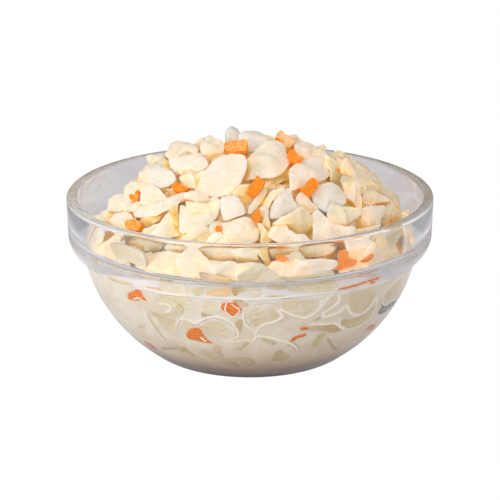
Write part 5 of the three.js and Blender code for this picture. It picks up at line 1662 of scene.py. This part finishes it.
def creamy_dressing():
    material, start, shader = new_material("creamy_dressing")
    place = object_place(start)
    upward = start.node("ShaderNodeNewGeometry", output=1).parts()[2]
    # Painted light in the ledge: a lavender colour and a faint glow, mixed in by height where the surface
    # stands up.
    band_light = height_of(place).span(BAND_LIGHT_FROM, BAND_LIGHT_FULL) * upward.span(0.3, 0.7, 1.0, 0.0)
    colour = band_light.mix(dressing_cloud(place), BAND_PAINTED_LIGHT)
    feed(start, shader, Base_Color=with_foot_shade(place, colour), Roughness=0.3)
    feed(start, shader, Emission_Color=band_light.mix(BLACK, BAND_PAINTED_GLOW), Emission_Strength=1.0)
    let_light_in(start, shader, 0.6, (1.0, 0.7, 0.4), 0.002, "RANDOM_WALK")
    return material


def white_dressing():
    material, start, shader = new_material("white_dressing")
    place = object_place(start)
    inputs = {0: 0.8, 6: dressing_cloud(place), 7: LINE_WHITE}
    colour = start.node("ShaderNodeMix", inputs, output=2, data_type="RGBA")
    feed(start, shader, Base_Color=with_foot_shade(place, colour), Roughness=0.3)
    # A faint painted glow makes the lines stand out from the pressed pieces.
    feed(start, shader, Emission_Color=LINE_PAINTED_GLOW, Emission_Strength=1.0)
    return material


def painted_air_reflection():
    material, start, shader = new_material("air_pocket")
    # Painted reflection: the pocket is a dim grey, as the side of the room that it mirrors.
    feed(start, shader, Base_Color=object_place(start).noise(300.0).ramp(*AIR_REFLECTION_STOPS), Roughness=0.3)
    return material


# %% Finish the food
DEPTH_START, DEPTH_FULL = 0.3, 4  # how far behind the glass, in mm, the shade begins, and its range


def wall_depth(points):
    """0 on the glass, and towards 1 behind it, which steers the painted shade."""
    r = np.hypot(points[:, 0], points[:, 1])
    return np.clip((inner_radius(points[:, 2]) - r - DEPTH_START) / DEPTH_FULL, 0, 1)


pile.smooth_skin()
# kind, finish, where its depth is read, and the share of that depth that makes painted golden shade
FOOD = [
    (leaves, cabbage, pile.depth, 0.8),
    (hearts, shaded_cabbage, pile.depth, 1.0),
    (ribs, rib_finish, pile.depth, 0.8),
    (carrots, carrot_finish, pile.depth, 1.0),
    (pressed, wet_cabbage, wall_depth, 1.0),
    (pressed_carrot, wet_carrot, wall_depth, 1.0),
    (film, white_dressing(), wall_depth, 1.0),
    (air, painted_air_reflection(), wall_depth, 1.0),
]
pieces = [(kind.build(depth_of, share), finish) for kind, finish, depth_of, share in FOOD]
for piece, finish in pieces + [(dressing, creamy_dressing())]:
    give_finish(piece, finish)
    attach(piece, "root")
    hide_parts("coleslaw")


# %% [markdown]
# The floor is plain and pale. What the glass and the food see of the room is a soft grey with a hint
# of lavender, as in a studio with a paper sweep, and level streaks in it give the glass its bands.
# What the camera sees past the bowl is white. A shader that asks which kind of ray it is met by can
# be all of these at once, which real rooms are not.

# %% Floor and room
LAVENDER = (0.61, 0.595, 0.625, 1)
FLOOR_SIZE, FLOOR_COLOUR = 8, (0.60, 0.53, 0.44, 1)
WHITE_STRENGTH, WHITE_SHARE = 1.03, 0.985
FLOOR_STREAKS = [(0.38, (0.32, 0.35, 0.34, 1)), (0.48, WHITE), (0.6, (1.45, 1.4, 1.35, 1))]
ROOM_STREAKS = [(0.38, (0.30, 0.31, 0.31, 1)), (0.5, LAVENDER), (0.62, (0.85, 0.83, 0.82, 1))]
SOFT_STREAKS = [(0.36, (0.34, 0.345, 0.35, 1)), (0.5, LAVENDER), (0.64, (0.80, 0.79, 0.79, 1))]
RIGHT_GLOW, LEFT_GLOW, GLOW_STRENGTH = (0.52, 0.465, 0.395, 1), (1.0, 0.975, 0.94, 1), 0.94


def by_ray(start, kind, other, seen, share=1.0):
    """The shader seen for rays of one kind, and the other for the rest."""
    hit = start.node("ShaderNodeLightPath").output(kind)
    return start.node("ShaderNodeMixShader", {0: hit * share, 1: other, 2: seen})


def shine(start, colour, strength=1.0, kind="ShaderNodeEmission"):
    return start.node(kind, {"Color": colour, "Strength": strength})


def floor_material():
    material, start, shader = new_material("pale_floor")
    feed(start, shader, Base_Color=FLOOR_COLOUR, Roughness=0.8)
    east, north, _ = object_place(start).parts()
    back = north.ramp((0.12, LAVENDER), (0.3, grey(0.10)))
    distance = (east * east + north * north).math("POWER", 0.5)
    streaks = start.node("ShaderNodeCombineXYZ", {0: distance}).noise(16.0, 3.0)
    gloss = shine(start, streaks.ramp(*FLOOR_STREAKS).mix_by(back))
    mixed = by_ray(start, "Is Glossy Ray", Wire(start.tree, shader.outputs[0]), gloss)
    mixed = by_ray(start, "Is Transmission Ray", mixed, shine(start, LAVENDER))
    show(by_ray(start, "Is Camera Ray", mixed, shine(start, WHITE, WHITE_STRENGTH), WHITE_SHARE))
    return material


def light_the_room(world):
    world.use_nodes = True
    start = Wire(world.node_tree)
    way = start.node("ShaderNodeTexCoord", output=0)
    folds = way.stretched((0.4, 0.4, 5.0)).noise(2.2)
    sideways, backwards, _ = way.parts()
    streaky = backwards.ramp((0.45, WHITE), (0.8, grey(0.12))).mix_by(folds.ramp(*ROOM_STREAKS))
    from_left = (0.5 - sideways * 0.5).mix(RIGHT_GLOW, LEFT_GLOW)
    sky = "ShaderNodeBackground"
    room, mirrored = shine(start, folds.ramp(*SOFT_STREAKS), 1.0, sky), shine(start, streaky, 1.0, sky)
    mixed = by_ray(start, "Is Transmission Ray", mirrored, room)
    mixed = by_ray(start, "Is Diffuse Ray", mixed, shine(start, from_left, GLOW_STRENGTH, sky))
    mixed = by_ray(start, "Is Camera Ray", mixed, shine(start, WHITE, WHITE_STRENGTH, sky))
    show(mixed, "World Output")


clear_selection()
bpy.ops.mesh.primitive_plane_add(size=FLOOR_SIZE, location=(0, 0, 0))
floor_piece = bpy.context.object
floor_piece.name = "floor"
floor_piece.data.materials.append(floor_material())
floor_piece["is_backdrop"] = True
bpy.context.scene.world = bpy.data.worlds.new("studio")
light_the_room(bpy.context.scene.world)
print("floor and room:", floor_piece.name, bpy.context.scene.world.name)


# %% [markdown]
# The heap is lit as on a bright table: a large soft key from the front left, a top light from behind,
# and a weak fill on the right. A low light from the left and one from the front brighten the food
# through the glass. Those two are left out of mirrors, because their squares would show on the bowl.

# %% Soft lights
LAMP_AIM = (0, 0, 0.045)
WARM, WARMER = (1, 0.985, 0.96), (1, 0.96, 0.90)
# name: place in metres, width and height, power, colour, and whether mirrors show it
LAMPS = {
    "key": ((-0.55, -0.65, 0.75), (0.9, 0.9), 0.8, WARM, True),
    "top": ((0.05, 0.25, 0.95), (1.1, 0.8), 0.5, WARM, True),
    "low": ((-0.85, -0.65, 0.14), (0.6, 0.4), 3.0, (1, 0.975, 0.935), False),
    "fill": ((0.8, -0.6, 0.35), (0.6, 0.8), 0.5, WARMER, True),
    "front": ((-0.1, -0.95, 0.3), (0.8, 0.5), 1.2, (1, 0.975, 0.94), False),
}

for name, (place, (width, height), power, colour, mirrored) in LAMPS.items():
    data = bpy.data.lights.new(name, "AREA")
    data.shape, data.size, data.size_y = "RECTANGLE", width, height
    data.energy, data.color = power, colour
    lamp = bpy.data.objects.new(name, data)
    bpy.context.scene.collection.objects.link(lamp)
    lamp.location = place
    lamp.rotation_euler = (Vector(LAMP_AIM) - Vector(place)).to_track_quat("-Z", "Y").to_euler()
    lamp.visible_glossy = mirrored
print("lamps:", *LAMPS)


# %% [markdown]
# The camera stands where the lens of the view stands, so what was drawn on the view lands where it
# was drawn. The Standard view keeps the white room white.

# %% Camera
camera_data = bpy.data.cameras.new("camera")
camera_data.sensor_width = SENSOR
camera_data.lens = LENS
camera_data.clip_start = 0.01
camera = bpy.data.objects.new("camera", camera_data)
bpy.context.scene.collection.objects.link(camera)
camera.location = EYE * MM
camera.rotation_euler = Vector(FORWARD).to_track_quat("-Z", "Y").to_euler()
bpy.context.scene.camera = camera
bpy.context.scene.view_settings.view_transform = "Standard"
bpy.context.scene.view_settings.look = "None"
print("camera at", [round(c, 3) for c in camera.location], "with a lens of", LENS, "mm")


# %% Write the sizes and finish
VISUAL_BOX = [list(corner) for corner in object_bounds()]
print("visual box in mm:", [[round(c / MM, 1) for c in corner] for corner in VISUAL_BOX])
